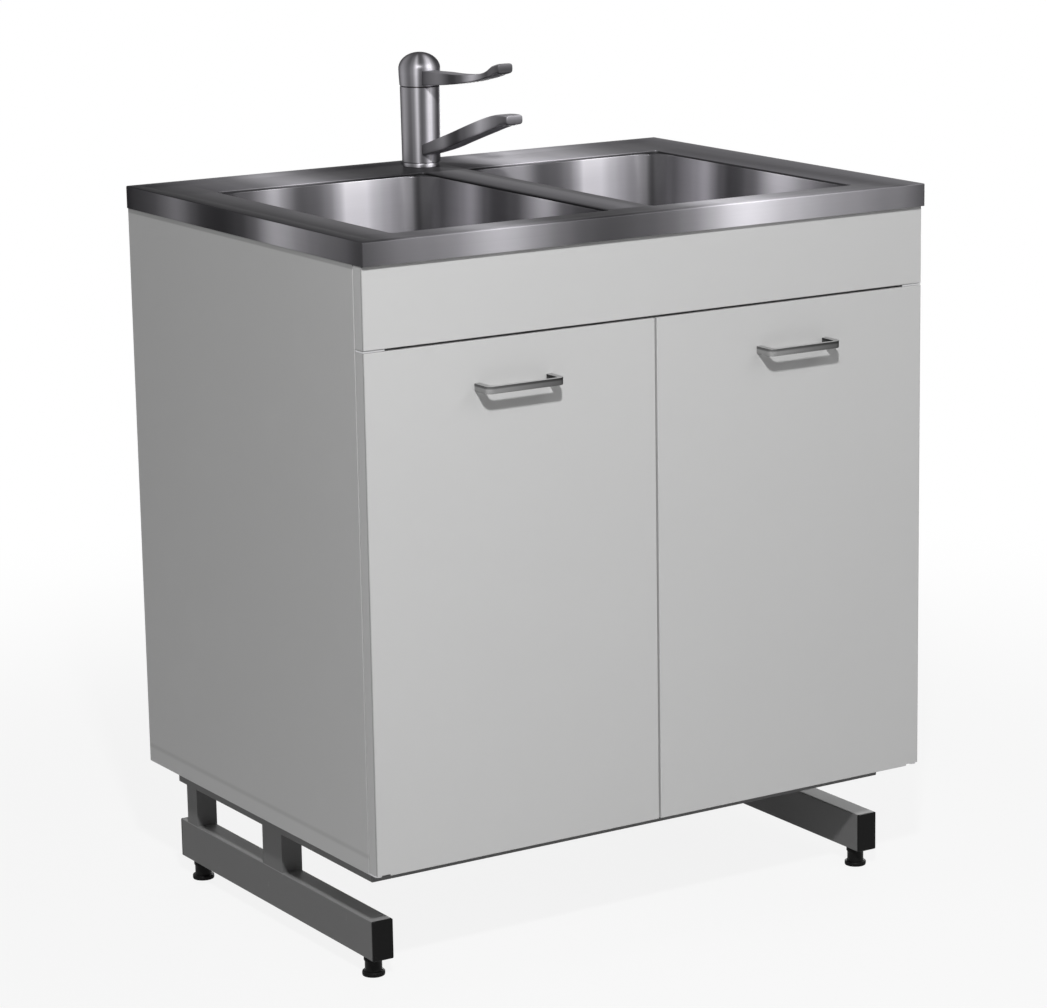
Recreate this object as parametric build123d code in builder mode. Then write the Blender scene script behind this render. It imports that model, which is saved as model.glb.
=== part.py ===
from build123d import *
import os

os.makedirs("parts", exist_ok=True)

# ---------------------------------------------------------------------------
# Free-standing kitchen sink unit.  Millimetres, +Z up, front towards -Y.
# Origin: on the floor, in the middle of the overall width and overall depth
# (the depth runs from the front of the handles to the back of the deck).
# ---------------------------------------------------------------------------

# sink deck
deck_w = 800.0
deck_d = 600.0
unit_h = 900.0
edge_h = 28.0
sheet = 1.0
rim_w = 14.0
rim_slope = 12.0
deck_drop = 2.0
flange_w = 12.0
handle_out = 30.0
deck_nose = 6.0
deck_back = (deck_d + handle_out - deck_nose) / 2
deck_front = deck_back - deck_d
deck_mid = (deck_back + deck_front) / 2
deck_z = unit_h - deck_drop
core_clear = 0.5

# bowls
bowl_side_in = 70.0
bowl_apart = 60.0
bowl_from_front = 56.0
bowl_from_back = 110.0
bowl_w = deck_w / 2 - bowl_side_in - bowl_apart / 2
bowl_l = deck_d - bowl_from_front - bowl_from_back
bowl_x = (bowl_w + bowl_apart) / 2
bowl_y = deck_front + bowl_from_front + bowl_l / 2
bowl_r = 60.0
bowl_mouth_r = 6.0
bowl_step = 3.0
bowl_depth = 162.0
bowl_draft = 1.5
bowl_floor_r = 28.0
bowl_floor_z = deck_z - bowl_depth
core_gap = 3.0
crown_w = 34.0
crown_h = 1.8
crown_in = 8.0

# bowl wastes, strainers and pipework
waste_dy = 60.0
waste_y = bowl_y + waste_dy
waste_flange_r = 56.0
waste_flange_t = 2.0
waste_cup_r = 43.0
waste_hole_clear = 0.3
waste_cup_h = 46.0
waste_wall = 1.6
tail_r = 20.0
tail_len = 30.0
pipe_wall = 2.0
waste_nut_r = 51.0
waste_nut_h = 10.0
strainer_r = 39.5
strainer_h = 30.0
strainer_stem_r = 3.0
knob_r = 8.0
knob_h = 8.0
knob_round = 2.0
strainer_hole_r = 3.0
cross_drop = 38.0
elbow_r = 24.0
pipe_nut_r = 26.0
pipe_nut_h = 20.0
nut_clear = 0.1
trap_r = 36.0
trap_h = 84.0
trap_cup_h = 34.0
trap_neck_r = 24.0
trap_neck_h = 20.0
trap_leg = 44.0
trap_wall = 2.5
trap_round = 6.0
trap_stub = 18.0
cup_out = 3.0
cup_round = 8.0
grip_r = 2.2
outlet_up = 58.0
outlet_in = 4.0
pipe_hole_gap = 0.3

# cabinet
cab_in = 0.5
cab_w = deck_w - 2 * cab_in
cab_z0 = 150.0
cab_z1 = unit_h - edge_h
cab_back_in = 3.0
cab_back = deck_back - cab_back_in
board = 16.0
back_t = 3.0
stretcher_h = 96.0
door_t = 18.0
door_seat = 1.5
door_gap = 3.0
door_side_in = 0.5
door_edge_r = 0.8
fascia_h = 96.5
fascia_top_gap = 0.5
face_y = deck_front + deck_nose
case_front = face_y + door_t + door_seat
door_top = cab_z1 - fascia_top_gap - fascia_h - door_gap
fix_in = 99.5
fix_spacing = cab_w - 2 * fix_in
fix_r = 3.5
fix_drop = 50.0
fix_z = cab_z1 - fix_drop

# hinges
pivot_in = 4.6
pivot_back = 12.0
pin_r = 2.0
pin_run = 0.05
pin_len = 10.0
leaf_t = 2.0
leaf_gap = 0.4
door_lift = 0.3
pocket_clear = 0.1
notch_r = 15.0
leaf_front = 1.0
leaf_reach = 27.0
plate_len = 56.0
plate_screw_in = (24.0, 9.0)
bracket_drop = 38.0
bracket_w = 13.0
bracket_screw_down = (28.0, 12.0)
bracket_screw_back = 15.5
bracket_gap = 0.3
return_gap = 1.0
screw_r = 1.75
screw_head_r = 3.6
screw_head_t = 1.8
screw_len = 12.0
screw_end = 0.5
sunk_head_r = 3.2
sunk_head_t = 1.0
catch_w = 40.0
catch_h = 12.0
catch_d = 14.0
catch_x = 34.0
strike_t = 1.2
strike_w = 28.0
strike_h = 16.0
strike_down = 1.0

# handles
handle_drop = 54.5
handle_z = door_top - handle_drop
handle_pitch = 96.0
handle_leg = 10.0
handle_bar = 5.0
handle_tall = 9.5
handle_bend = 19.5
handle_round = 1.4
handle_screw_r = 2.0
handle_head_r = 4.0
handle_head_t = 2.2
handle_thread = 12.0

# tap
tap_back = 51.0
tap_y = deck_back - tap_back
tap_hole_r = 17.5
ring_r = 23.7
ring_h = 6.0
ring_edge = 1.0
shank_r = 16.5
shank_drop = 52.0
core_r = 15.0
run_clear = 0.06
sleeve_r = 25.0
sleeve_top_r = 25.8
sleeve_top = 104.0
sleeve_gap = 0.3
sleeve_edge = 0.6
joint_gap = 1.2
cap_low_r = 26.2
cap_r = 27.2
cap_wall = 2.2
cap_straight = 130.0
cap_top = 148.0
cap_shoulder_r = 13.0
cartridge_r = 14.8
cartridge_top = 118.0
carrier_r = 18.0
carrier_t = 3.6
lift_y = 20.6
lift_z = 110.0
lift_pin_r = 1.5
lug_w = 10.0
lug_h = 3.0
lug_back = 2.1
lug_root = 8.0
lug_play = 0.4
ear_h = 3.4
ear_top = 6.0
ear_t = 4.0
lever_w = 22.0
lever_root = 20.0
lever_root_low = 106.5
lever_root_high = 126.0
spout_w = 24.0
spout_tip = 233.0
spout_tip_low = 75.0
spout_tip_high = 84.0
bar_round = 2.0
aerator_u = 221.0
aerator_r = 9.4
aerator_low = 70.5
aerator_top = 80.0
aerator_lip = 1.9
aerator_cup = 3.5
nut_af = 44.0
nut_h = 10.0
washer_t = 3.0
washer_r = 26.0
inlet_r = 4.5
inlet_len = 14.0
inlet_x = 7.5

# underframe
frame_in = 24.0
frame_w = cab_w - 2 * frame_in
tube_w = 28.0
tube_wall = 2.0
tube_round = 1.5
rail_front_in = 56.3
rail_back_in = 32.7
rail_z0 = 25.0
rail_h = 50.0
ring_tube_h = 25.0
cap_t = 3.0
plug_len = 10.0
plug_clear = 0.1
rail_y0 = face_y + rail_front_in
rail_y1 = cab_back - rail_back_in
post_rear_in = 21.3
post_rear_d = 27.0
post_mid_in = 227.3
post_mid_d = 50.0
foot_front_in = 25.5
foot_rear_in = 31.7
foot_pad_r = 13.9
foot_pad_h = 6.0
foot_neck_r = 10.5
foot_collar_r = 11.6
foot_collar_h = 6.0
foot_gap = 0.2
foot_hole_gap = 0.3
foot_stem_r = 5.0
foot_stem_up = 33.0
foot_pad_round = 1.6
foot_nut_r = 9.0
foot_nut_h = 8.0
bolt_r = 3.0
bolt_head_r = 6.5
bolt_head_t = 3.5
bolt_hole = 0.2
bolt_len = 26.0
bolt_in = 70.0
bolt_ys = (rail_y0 + bolt_in, (rail_y0 + rail_y1) / 2, rail_y1 - bolt_in)
frame_nut_r = 5.0
frame_nut_h = 7.0

frame_x = (frame_w - tube_w) / 2
in_x = cab_w / 2 - board
face_x = cab_w / 2 - door_side_in
handle_x = (door_gap / 2 + face_x) / 2


def slab(x0, x1, y0, y1, z0, z1, mode=Mode.ADD):
    with BuildSketch(Plane.XY.offset(z0)) as profile:
        with Locations(((x0 + x1) / 2, (y0 + y1) / 2)):
            Rectangle(abs(x1 - x0), abs(y1 - y0))
    extrude(profile.sketch, amount=z1 - z0, mode=mode)


def rod_z(x, y, z0, z1, r, mode=Mode.ADD):
    with BuildSketch(Plane.XY.offset(z0)) as profile:
        with Locations((x, y)):
            Circle(r)
    extrude(profile.sketch, amount=z1 - z0, mode=mode)


def rod_y(x, z, y0, y1, r, mode=Mode.ADD):
    with BuildSketch(Plane.XZ.offset(-y0)) as profile:
        with Locations((x, z)):
            Circle(r)
    extrude(profile.sketch, amount=-(y1 - y0), mode=mode)


def rod_x(y, z, x0, x1, r, mode=Mode.ADD):
    with BuildSketch(Plane.YZ.offset(x0)) as profile:
        with Locations((y, z)):
            Circle(r)
    extrude(profile.sketch, amount=x1 - x0, mode=mode)


def round_slab(x, y, w, d, r, z0, z1, taper=0.0, mode=Mode.ADD):
    with BuildSketch(Plane.XY.offset(z0)) as profile:
        with Locations((x, y)):
            RectangleRounded(w, d, r)
    extrude(profile.sketch, amount=z1 - z0, taper=taper, mode=mode)


def bar_y(x, w, z0, z1, y0, y1, r, mode=Mode.ADD):
    with BuildSketch(Plane.XZ.offset(-y0)) as profile:
        with Locations((x, (z0 + z1) / 2)):
            if r > 0:
                RectangleRounded(w, z1 - z0, r)
            else:
                Rectangle(w, z1 - z0)
    extrude(profile.sketch, amount=-(y1 - y0), mode=mode)


def save(piece, name):
    piece.part.label = name
    export_step(piece.part, "parts/" + name + ".step")


# ---------------------------------------------------------------------------
# Cabinet
# ---------------------------------------------------------------------------
def side_panel(s):
    with BuildPart() as panel:
        slab(s * in_x, s * cab_w / 2, case_front, cab_back, cab_z0, cab_z1)
        # pocket in the underside for the bottom hinge plate
        px = s * (cab_w / 2 - door_side_in - pivot_in)
        half = pivot_in + pocket_clear
        slab(px - half, px + half, case_front, face_y + plate_len, cab_z0, cab_z0 + leaf_t, Mode.SUBTRACT)
        for y in plate_screw_ys():
            rod_z(px, y, cab_z0, cab_z0 + screw_len, screw_r, Mode.SUBTRACT)
        for z in bracket_screw_zs():
            rod_x(bracket_screw_y(), z, s * in_x, s * (in_x + screw_len), screw_r, Mode.SUBTRACT)
    return panel


def plate_screw_ys():
    return [face_y + plate_len - inset for inset in plate_screw_in]


def bracket_screw_zs():
    return [door_top - down for down in bracket_screw_down]


def bracket_screw_y():
    return case_front + bracket_screw_back


side_panel_left = side_panel(-1)
save(side_panel_left, "side_panel_left")
side_panel_right = side_panel(1)
save(side_panel_right, "side_panel_right")

with BuildPart() as bottom_panel:
    slab(-in_x, in_x, case_front, cab_back - back_t, cab_z0, cab_z0 + board)
    for s in (-1, 1):
        for y in bolt_ys:
            rod_z(s * frame_x, y, cab_z0, cab_z0 + board, bolt_r + bolt_hole, Mode.SUBTRACT)
save(bottom_panel, "bottom_panel")

cup_z0 = bowl_floor_z - waste_cup_h
tail_z0 = cup_z0 - tail_len
cross_z = tail_z0 - cross_drop
trap_neck_z0 = cross_z - trap_leg - trap_neck_h
outlet_z = trap_neck_z0 - trap_h + outlet_up

with BuildPart() as back_panel:
    slab(-in_x, in_x, cab_back - back_t, cab_back, cab_z0, cab_z1)
    rod_y(0.0, outlet_z, cab_back - back_t, cab_back, tail_r + pipe_hole_gap, Mode.SUBTRACT)
    for x in (-fix_spacing / 2, fix_spacing / 2):
        rod_y(x, fix_z, cab_back - back_t, cab_back, fix_r, Mode.SUBTRACT)
save(back_panel, "back_panel")

with BuildPart() as front_stretcher:
    slab(-in_x, in_x, face_y + door_t, face_y + door_t + board, cab_z1 - stretcher_h, cab_z1)
save(front_stretcher, "front_stretcher")

with BuildPart() as rear_stretcher:
    slab(-in_x, in_x, cab_back - back_t - board, cab_back - back_t, cab_z1 - stretcher_h, cab_z1)
    for x in (-fix_spacing / 2, fix_spacing / 2):
        rod_y(x, fix_z, cab_back - back_t - board, cab_back - back_t, fix_r, Mode.SUBTRACT)
save(rear_stretcher, "rear_stretcher")

with BuildPart() as fascia_panel:
    slab(-face_x, face_x, face_y, face_y + door_t, door_top + door_gap, cab_z1 - fascia_top_gap)
    front = fascia_panel.faces().sort_by(Axis.Y)[0]
    fillet(front.edges(), door_edge_r)
save(fascia_panel, "fascia_panel")

with BuildPart() as door_catches:
    for s in (-1, 1):
        slab(s * catch_x - catch_w / 2, s * catch_x + catch_w / 2,
             face_y + door_t + board - catch_d, face_y + door_t + board,
             cab_z1 - stretcher_h - catch_h, cab_z1 - stretcher_h)
save(door_catches, "door_catches")


# ---------------------------------------------------------------------------
# Sink deck: folded sheet with a raised rim, a recessed ledge, two sharp-
# cornered bowl mouths with a short lip, a crowned strip and a tap hole
# ---------------------------------------------------------------------------
rim_in = 2 * rim_w
slope_in = 2 * (rim_w + rim_slope)
plate_z0 = deck_z - sheet
lip_z = plate_z0 - (bowl_step - sheet)

with BuildPart() as sink_deck:
    round_slab(0, deck_mid, deck_w, deck_d, 2.0, cab_z1, unit_h)
    round_slab(0, deck_mid, deck_w - 2 * sheet, deck_d - 2 * sheet, 1.2, cab_z1 + sheet, plate_z0, 0.0,
               Mode.SUBTRACT)
    # mouth of the folded skirt between the inward flanges
    slab(-deck_w / 2 + flange_w, deck_w / 2 - flange_w, deck_front + flange_w, deck_back - flange_w,
         cab_z1, cab_z1 + sheet, Mode.SUBTRACT)
    # recess of the ledge, its sides sloping down from the rim
    with BuildSketch(Plane.XY.offset(deck_z)):
        with Locations((0, deck_mid)):
            Rectangle(deck_w - slope_in, deck_d - slope_in)
    with BuildSketch(Plane.XY.offset(unit_h)):
        with Locations((0, deck_mid)):
            Rectangle(deck_w - rim_in, deck_d - rim_in)
    loft(mode=Mode.SUBTRACT)
    # hollow under the raised rim
    with BuildSketch(Plane.XY.offset(plate_z0)):
        with Locations((0, deck_mid)):
            Rectangle(deck_w - 2 * sheet, deck_d - 2 * sheet)
            Rectangle(deck_w - rim_in + 2 * sheet, deck_d - rim_in + 2 * sheet, mode=Mode.SUBTRACT)
    extrude(amount=deck_drop, mode=Mode.SUBTRACT)
    # crowned strip between the bowls
    with BuildSketch(Plane.XZ.offset(-(bowl_y - bowl_l / 2 + crown_in))):
        with BuildLine():
            ThreePointArc((-crown_w / 2, deck_z), (0, deck_z + crown_h), (crown_w / 2, deck_z))
            Line((-crown_w / 2, deck_z), (crown_w / 2, deck_z))
        make_face()
    extrude(amount=-(bowl_l - 2 * crown_in))
    # lips of the bowl mouths
    for s in (-1, 1):
        round_slab(s * bowl_x, bowl_y, bowl_w + 2 * sheet, bowl_l + 2 * sheet, bowl_mouth_r + sheet, lip_z, plate_z0)
        round_slab(s * bowl_x, bowl_y, bowl_w, bowl_l, bowl_mouth_r, lip_z, deck_z, 0.0, Mode.SUBTRACT)
    rod_z(0, tap_y, plate_z0, deck_z, tap_hole_r, Mode.SUBTRACT)
save(sink_deck, "sink_deck")

# boards that stiffen the sheet: front, back, two sides and one between the bowls
with BuildPart() as deck_core:
    core_x = deck_w / 2 - sheet - core_clear
    core_y0 = deck_front + sheet + core_clear
    core_y1 = deck_back - sheet - core_clear
    pan_x0 = bowl_x - bowl_w / 2 - core_gap
    pan_x1 = bowl_x + bowl_w / 2 + core_gap
    pan_y0 = bowl_y - bowl_l / 2 - core_gap
    pan_y1 = bowl_y + bowl_l / 2 + core_gap
    slab(-core_x, core_x, core_y0, pan_y0, cab_z1 + sheet, plate_z0)
    slab(-core_x, core_x, pan_y1, core_y1, cab_z1 + sheet, plate_z0)
    rod_z(0, tap_y, cab_z1 + sheet, plate_z0, tap_hole_r + core_clear, Mode.SUBTRACT)
    for x0, x1 in ((-core_x, -pan_x1), (-pan_x0, pan_x0), (pan_x1, core_x)):
        slab(x0, x1, pan_y0 + core_clear, pan_y1 - core_clear, cab_z1 + sheet, plate_z0)
save(deck_core, "deck_core")


def bowl_void(x):
    with BuildPart() as void:
        round_slab(x, bowl_y, bowl_w, bowl_l, bowl_r, lip_z, bowl_floor_z, bowl_draft)
        low = void.faces().sort_by(Axis.Z)[0]
        fillet(low.edges(), bowl_floor_r)
    return void.part


def bowl(s):
    x = s * bowl_x
    void = bowl_void(x)
    with BuildPart() as pan:
        round_slab(x, bowl_y, bowl_w + 2 * sheet, bowl_l + 2 * sheet, bowl_r + sheet,
                   lip_z, bowl_floor_z - sheet, bowl_draft)
        low = pan.faces().sort_by(Axis.Z)[0]
        fillet(low.edges(), bowl_floor_r + sheet)
        round_slab(x, bowl_y, bowl_w + 2 * sheet, bowl_l + 2 * sheet, bowl_mouth_r + sheet, lip_z - sheet, lip_z)
        add(void, mode=Mode.SUBTRACT)
        # hole for the waste
        rod_z(x, waste_y, bowl_floor_z - sheet, bowl_floor_z, waste_cup_r + waste_hole_clear, Mode.SUBTRACT)
    return pan


bowl_left = bowl(-1)
save(bowl_left, "bowl_left")
bowl_right = bowl(1)
save(bowl_right, "bowl_right")

# ---------------------------------------------------------------------------
# Wastes, strainers and pipework
# ---------------------------------------------------------------------------
def waste(s):
    x = s * bowl_x
    with BuildPart() as body:
        with BuildSketch(Plane.XY.offset(bowl_floor_z)):
            with Locations((x, waste_y)):
                Circle(waste_flange_r)
        extrude(amount=waste_flange_t, taper=40)
        rod_z(x, waste_y, cup_z0, bowl_floor_z, waste_cup_r)
        rod_z(x, waste_y, tail_z0, cup_z0, tail_r)
        rod_z(x, waste_y, cup_z0 + waste_wall, bowl_floor_z + waste_flange_t, waste_cup_r - waste_wall, Mode.SUBTRACT)
        rod_z(x, waste_y, tail_z0, cup_z0 + waste_wall, tail_r - pipe_wall, Mode.SUBTRACT)
    return body


waste_left = waste(-1)
save(waste_left, "waste_left")
waste_right = waste(1)
save(waste_right, "waste_right")

with BuildPart() as waste_nuts:
    for s in (-1, 1):
        top = bowl_floor_z - sheet
        rod_z(s * bowl_x, waste_y, top - waste_nut_h, top, waste_nut_r)
        rod_z(s * bowl_x, waste_y, top - waste_nut_h, top, waste_cup_r + nut_clear, Mode.SUBTRACT)
save(waste_nuts, "waste_nuts")


def strainer(s):
    x = s * bowl_x
    z0 = cup_z0 + waste_wall
    top = z0 + strainer_h
    with BuildPart() as basket:
        # perforated cup standing on the waste floor, with a lifting knob
        rod_z(x, waste_y, z0, top, strainer_r)
        rod_z(x, waste_y, z0 + waste_wall, top, strainer_r - waste_wall, Mode.SUBTRACT)
        rod_z(x, waste_y, z0, top - knob_h / 2, strainer_stem_r)
        rod_z(x, waste_y, top - knob_h / 2, top + knob_h / 2, knob_r)
        knob = basket.faces().sort_by(Axis.Z)[-1]
        fillet(knob.edges(), knob_round)
        with BuildSketch(Plane.XY.offset(z0)):
            with Locations((x, waste_y)):
                with PolarLocations(strainer_r / 3, 4):
                    Circle(strainer_hole_r)
                with PolarLocations(strainer_r * 2 / 3, 8):
                    Circle(strainer_hole_r)
        extrude(amount=waste_wall, mode=Mode.SUBTRACT)
    return basket


strainer_left = strainer(-1)
save(strainer_left, "strainer_left")
strainer_right = strainer(1)
save(strainer_right, "strainer_right")

with BuildPart() as crossbar_pipe:
    # one bent tube from waste to waste with a down leg to the trap
    with BuildLine() as run:
        FilletPolyline((-bowl_x, waste_y, tail_z0), (-bowl_x, waste_y, cross_z), (bowl_x, waste_y, cross_z),
                       (bowl_x, waste_y, tail_z0), radius=elbow_r)
    with BuildSketch(Plane.XY.offset(tail_z0)) as bore_out:
        with Locations((-bowl_x, waste_y)):
            Circle(tail_r)
    sweep(bore_out.sketch, path=run.line)
    rod_z(0, waste_y, trap_neck_z0, cross_z, tail_r)
    with BuildSketch(Plane.XY.offset(tail_z0)) as bore_in:
        with Locations((-bowl_x, waste_y)):
            Circle(tail_r - pipe_wall)
    sweep(bore_in.sketch, path=run.line, mode=Mode.SUBTRACT)
    rod_z(0, waste_y, trap_neck_z0, cross_z, tail_r - pipe_wall, Mode.SUBTRACT)
save(crossbar_pipe, "crossbar_pipe")

# bottle trap: neck over the down leg, side outlet to the wall, screwed cup
trap_z1 = trap_neck_z0
cup_bottom = trap_z1 - trap_h
trap_z0 = cup_bottom + trap_cup_h
stub_y1 = waste_y + trap_r + trap_stub

with BuildPart() as trap_body:
    rod_z(0, waste_y, trap_z0, trap_z1, trap_r)
    upper = trap_body.edges().group_by(Axis.Z)[-1]
    fillet(upper, trap_round)
    rod_z(0, waste_y, trap_z1, trap_z1 + trap_neck_h, trap_neck_r)
    rod_y(0, outlet_z, waste_y, stub_y1, trap_neck_r)
    rod_z(0, waste_y, trap_z0, trap_z1 - outlet_in, trap_r - trap_wall, Mode.SUBTRACT)
    rod_z(0, waste_y, trap_z1 - outlet_in, trap_z1 + trap_neck_h, tail_r + nut_clear, Mode.SUBTRACT)
    rod_y(0, outlet_z, waste_y, stub_y1, tail_r + nut_clear, Mode.SUBTRACT)
save(trap_body, "trap_body")

with BuildPart() as trap_cup:
    rod_z(0, waste_y, cup_bottom, trap_z0, trap_r + cup_out)
    lower = trap_cup.edges().group_by(Axis.Z)[0]
    fillet(lower, cup_round)
    rod_z(0, waste_y, cup_bottom + cup_out, trap_z0, trap_r - trap_wall, Mode.SUBTRACT)
    # finger grips round the cup
    with BuildSketch(Plane.XY.offset(cup_bottom + cup_round + 1.0)):
        with Locations((0, waste_y)):
            with PolarLocations(trap_r + cup_out + grip_r / 2, 12):
                Circle(grip_r)
    extrude(amount=trap_cup_h - cup_round - cup_out - 1.0, mode=Mode.SUBTRACT)
save(trap_cup, "trap_cup")

with BuildPart() as outlet_pipe:
    rod_y(0, outlet_z, waste_y + trap_r - outlet_in, cab_back, tail_r)
    rod_y(0, outlet_z, waste_y + trap_r - outlet_in, cab_back, tail_r - pipe_wall, Mode.SUBTRACT)
save(outlet_pipe, "outlet_pipe")

with BuildPart() as pipe_nuts:
    for s in (-1, 1):
        rod_z(s * bowl_x, waste_y, tail_z0 - pipe_nut_h / 2, tail_z0 + pipe_nut_h / 2, pipe_nut_r)
        rod_z(s * bowl_x, waste_y, tail_z0 - pipe_nut_h / 2, tail_z0 + pipe_nut_h / 2, tail_r + nut_clear,
              Mode.SUBTRACT)
    nz = trap_z1 + trap_neck_h
    rod_z(0, waste_y, nz, nz + pipe_nut_h / 2, pipe_nut_r)
    rod_z(0, waste_y, nz, nz + pipe_nut_h / 2, tail_r + nut_clear, Mode.SUBTRACT)
    rod_y(0, outlet_z, stub_y1, stub_y1 + pipe_nut_h / 2, pipe_nut_r)
    rod_y(0, outlet_z, stub_y1, stub_y1 + pipe_nut_h / 2, tail_r + nut_clear, Mode.SUBTRACT)
save(pipe_nuts, "pipe_nuts")

# ---------------------------------------------------------------------------
# Tap.  Heights are above the ledge; reaches are from the tap's axis
# ---------------------------------------------------------------------------
sleeve_z0 = deck_z + ring_h + sleeve_gap
sleeve_z1 = deck_z + sleeve_top
cap_z0 = sleeve_z1 + joint_gap
lever_top = ((36.0, 126.0), (72.0, 127.5), (98.0, 127.3), (123.0, 128.7), (154.0, 132.0), (178.0, 136.5),
             (190.0, 142.5), (199.0, 147.5), (209.0, 150.0))
lever_low = ((211.0, 136.7), (182.0, 129.5), (142.0, 121.0), (108.0, 115.5), (80.0, 112.0), (36.0, 108.0))
spout_top = ((20.0, 30.0), (36.0, 35.0), (74.0, 46.6), (109.0, 58.0), (157.0, 73.0), (190.0, 83.0),
             (207.0, 86.5), (226.0, 87.8))
spout_low = ((222.0, 73.5), (193.0, 66.0), (151.0, 53.0), (108.0, 39.5), (72.0, 28.0),
             (36.0, 19.0), (20.0, 16.0))


def reach(points):
    return [(tap_y - u, deck_z + h) for u, h in points]


with BuildPart() as tap_base_ring:
    rod_z(0, tap_y, deck_z, deck_z + ring_h, ring_r)
    chamfer(tap_base_ring.edges().group_by(Axis.Z)[-1], ring_edge)
    rod_z(0, tap_y, deck_z, deck_z + ring_h, shank_r + nut_clear, Mode.SUBTRACT)
save(tap_base_ring, "tap_base_ring")

with BuildPart() as tap_core:
    rod_z(0, tap_y, deck_z - shank_drop, deck_z + ring_h, shank_r)
    rod_z(0, tap_y, deck_z + ring_h, sleeve_z1, core_r)
    for s in (-1, 1):
        rod_z(s * inlet_x, tap_y, deck_z - shank_drop, deck_z - shank_drop + inlet_len, inlet_r, Mode.SUBTRACT)
save(tap_core, "tap_core")

with BuildPart() as tap_nut:
    nz = cab_z1 + sheet - washer_t
    rod_z(0, tap_y, nz, nz + washer_t, washer_r)
    with BuildSketch(Plane.XY.offset(nz - nut_h)):
        with Locations((0, tap_y)):
            RegularPolygon(nut_af / 2, 6, major_radius=False)
    extrude(amount=nut_h)
    rod_z(0, tap_y, nz - nut_h, nz + washer_t, shank_r + nut_clear, Mode.SUBTRACT)
save(tap_nut, "tap_nut")

with BuildPart() as tap_cartridge:
    rod_z(0, tap_y, sleeve_z1, deck_z + cartridge_top, cartridge_r)
    chamfer(tap_cartridge.edges().group_by(Axis.Z)[-1], sleeve_edge)
save(tap_cartridge, "tap_cartridge")

# turning carrier: a disc over the cartridge with a lug for the lift pin
carrier_z0 = deck_z + cartridge_top + 0.2
with BuildPart() as tap_carrier:
    rod_z(0, tap_y, carrier_z0, carrier_z0 + carrier_t, carrier_r)
    slab(-lug_w / 2, lug_w / 2, tap_y + lift_y - lug_h * 1.6, tap_y + lift_y + lug_back, deck_z + lift_z - lug_h,
         carrier_z0 + carrier_t)
    slab(-lug_w / 2, lug_w / 2, tap_y + carrier_r - lug_root, tap_y + carrier_r, carrier_z0, carrier_z0 + carrier_t)
    rod_x(tap_y + lift_y, deck_z + lift_z, -lug_w / 2, lug_w / 2, lift_pin_r + run_clear, Mode.SUBTRACT)
save(tap_carrier, "tap_carrier")

with BuildPart() as tap_sleeve:
    # slightly wider at the top than at the foot
    with BuildSketch(Plane.YZ):
        with BuildLine():
            Polyline((tap_y + core_r + run_clear, sleeve_z0), (tap_y + sleeve_r, sleeve_z0),
                     (tap_y + sleeve_top_r, sleeve_z1), (tap_y + core_r + run_clear, sleeve_z1),
                     (tap_y + core_r + run_clear, sleeve_z0))
        make_face()
    revolve(axis=Axis((0, tap_y, 0), (0, 0, 1)))
    chamfer(tap_sleeve.edges().group_by(Axis.Z)[0].sort_by(SortBy.LENGTH)[-1], sleeve_edge)
    chamfer(tap_sleeve.edges().group_by(Axis.Z)[-1].sort_by(SortBy.LENGTH)[-1], sleeve_edge)
save(tap_sleeve, "tap_sleeve")

# full bodies of the sleeve and the cap, which the spout and the lever are cut to
with BuildPart() as sleeve_cut:
    with BuildSketch(Plane.XY.offset(sleeve_z0)):
        with Locations((0, tap_y)):
            Circle(sleeve_r)
    with BuildSketch(Plane.XY.offset(sleeve_z1)):
        with Locations((0, tap_y)):
            Circle(sleeve_top_r)
    loft()
sleeve_body = sleeve_cut.part
with BuildPart() as cap_cut:
    with BuildSketch(Plane.XY.offset(cap_z0)):
        with Locations((0, tap_y)):
            Circle(cap_low_r)
    with BuildSketch(Plane.XY.offset(deck_z + cap_straight)):
        with Locations((0, tap_y)):
            Circle(cap_r)
    loft()
    rod_z(0, tap_y, deck_z + cap_straight, deck_z + cap_top, cap_r)
cap_body = cap_cut.part


def long_sides(bar):
    # the four edges that run along a spout or lever
    return bar.edges().sort_by(SortBy.LENGTH)[-4:]


with BuildPart() as tap_spout:
    with BuildSketch(Plane.YZ.offset(-spout_w / 2)):
        with BuildLine():
            upper_line = Spline(reach(spout_top))
            nose = Line(upper_line @ 1, (tap_y - spout_tip, deck_z + spout_tip_high))
            drop = Line(nose @ 1, (tap_y - spout_tip, deck_z + spout_tip_low))
            lower_line = Spline(drop @ 1, *reach(spout_low))
            Line(lower_line @ 1, upper_line @ 0)
        make_face()
    extrude(amount=spout_w)
    fillet(long_sides(tap_spout), bar_round)
    add(sleeve_body, mode=Mode.SUBTRACT)
    rod_z(0, tap_y - aerator_u, deck_z + aerator_low - aerator_cup, deck_z + aerator_top, aerator_r, Mode.SUBTRACT)
save(tap_spout, "tap_spout")

with BuildPart() as tap_aerator:
    rod_z(0, tap_y - aerator_u, deck_z + aerator_low, deck_z + aerator_top, aerator_r)
    chamfer(tap_aerator.edges().group_by(Axis.Z)[0], sleeve_edge)
    rod_z(0, tap_y - aerator_u, deck_z + aerator_low, deck_z + aerator_low + aerator_cup, aerator_r - aerator_lip,
          Mode.SUBTRACT)
save(tap_aerator, "tap_aerator")

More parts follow.
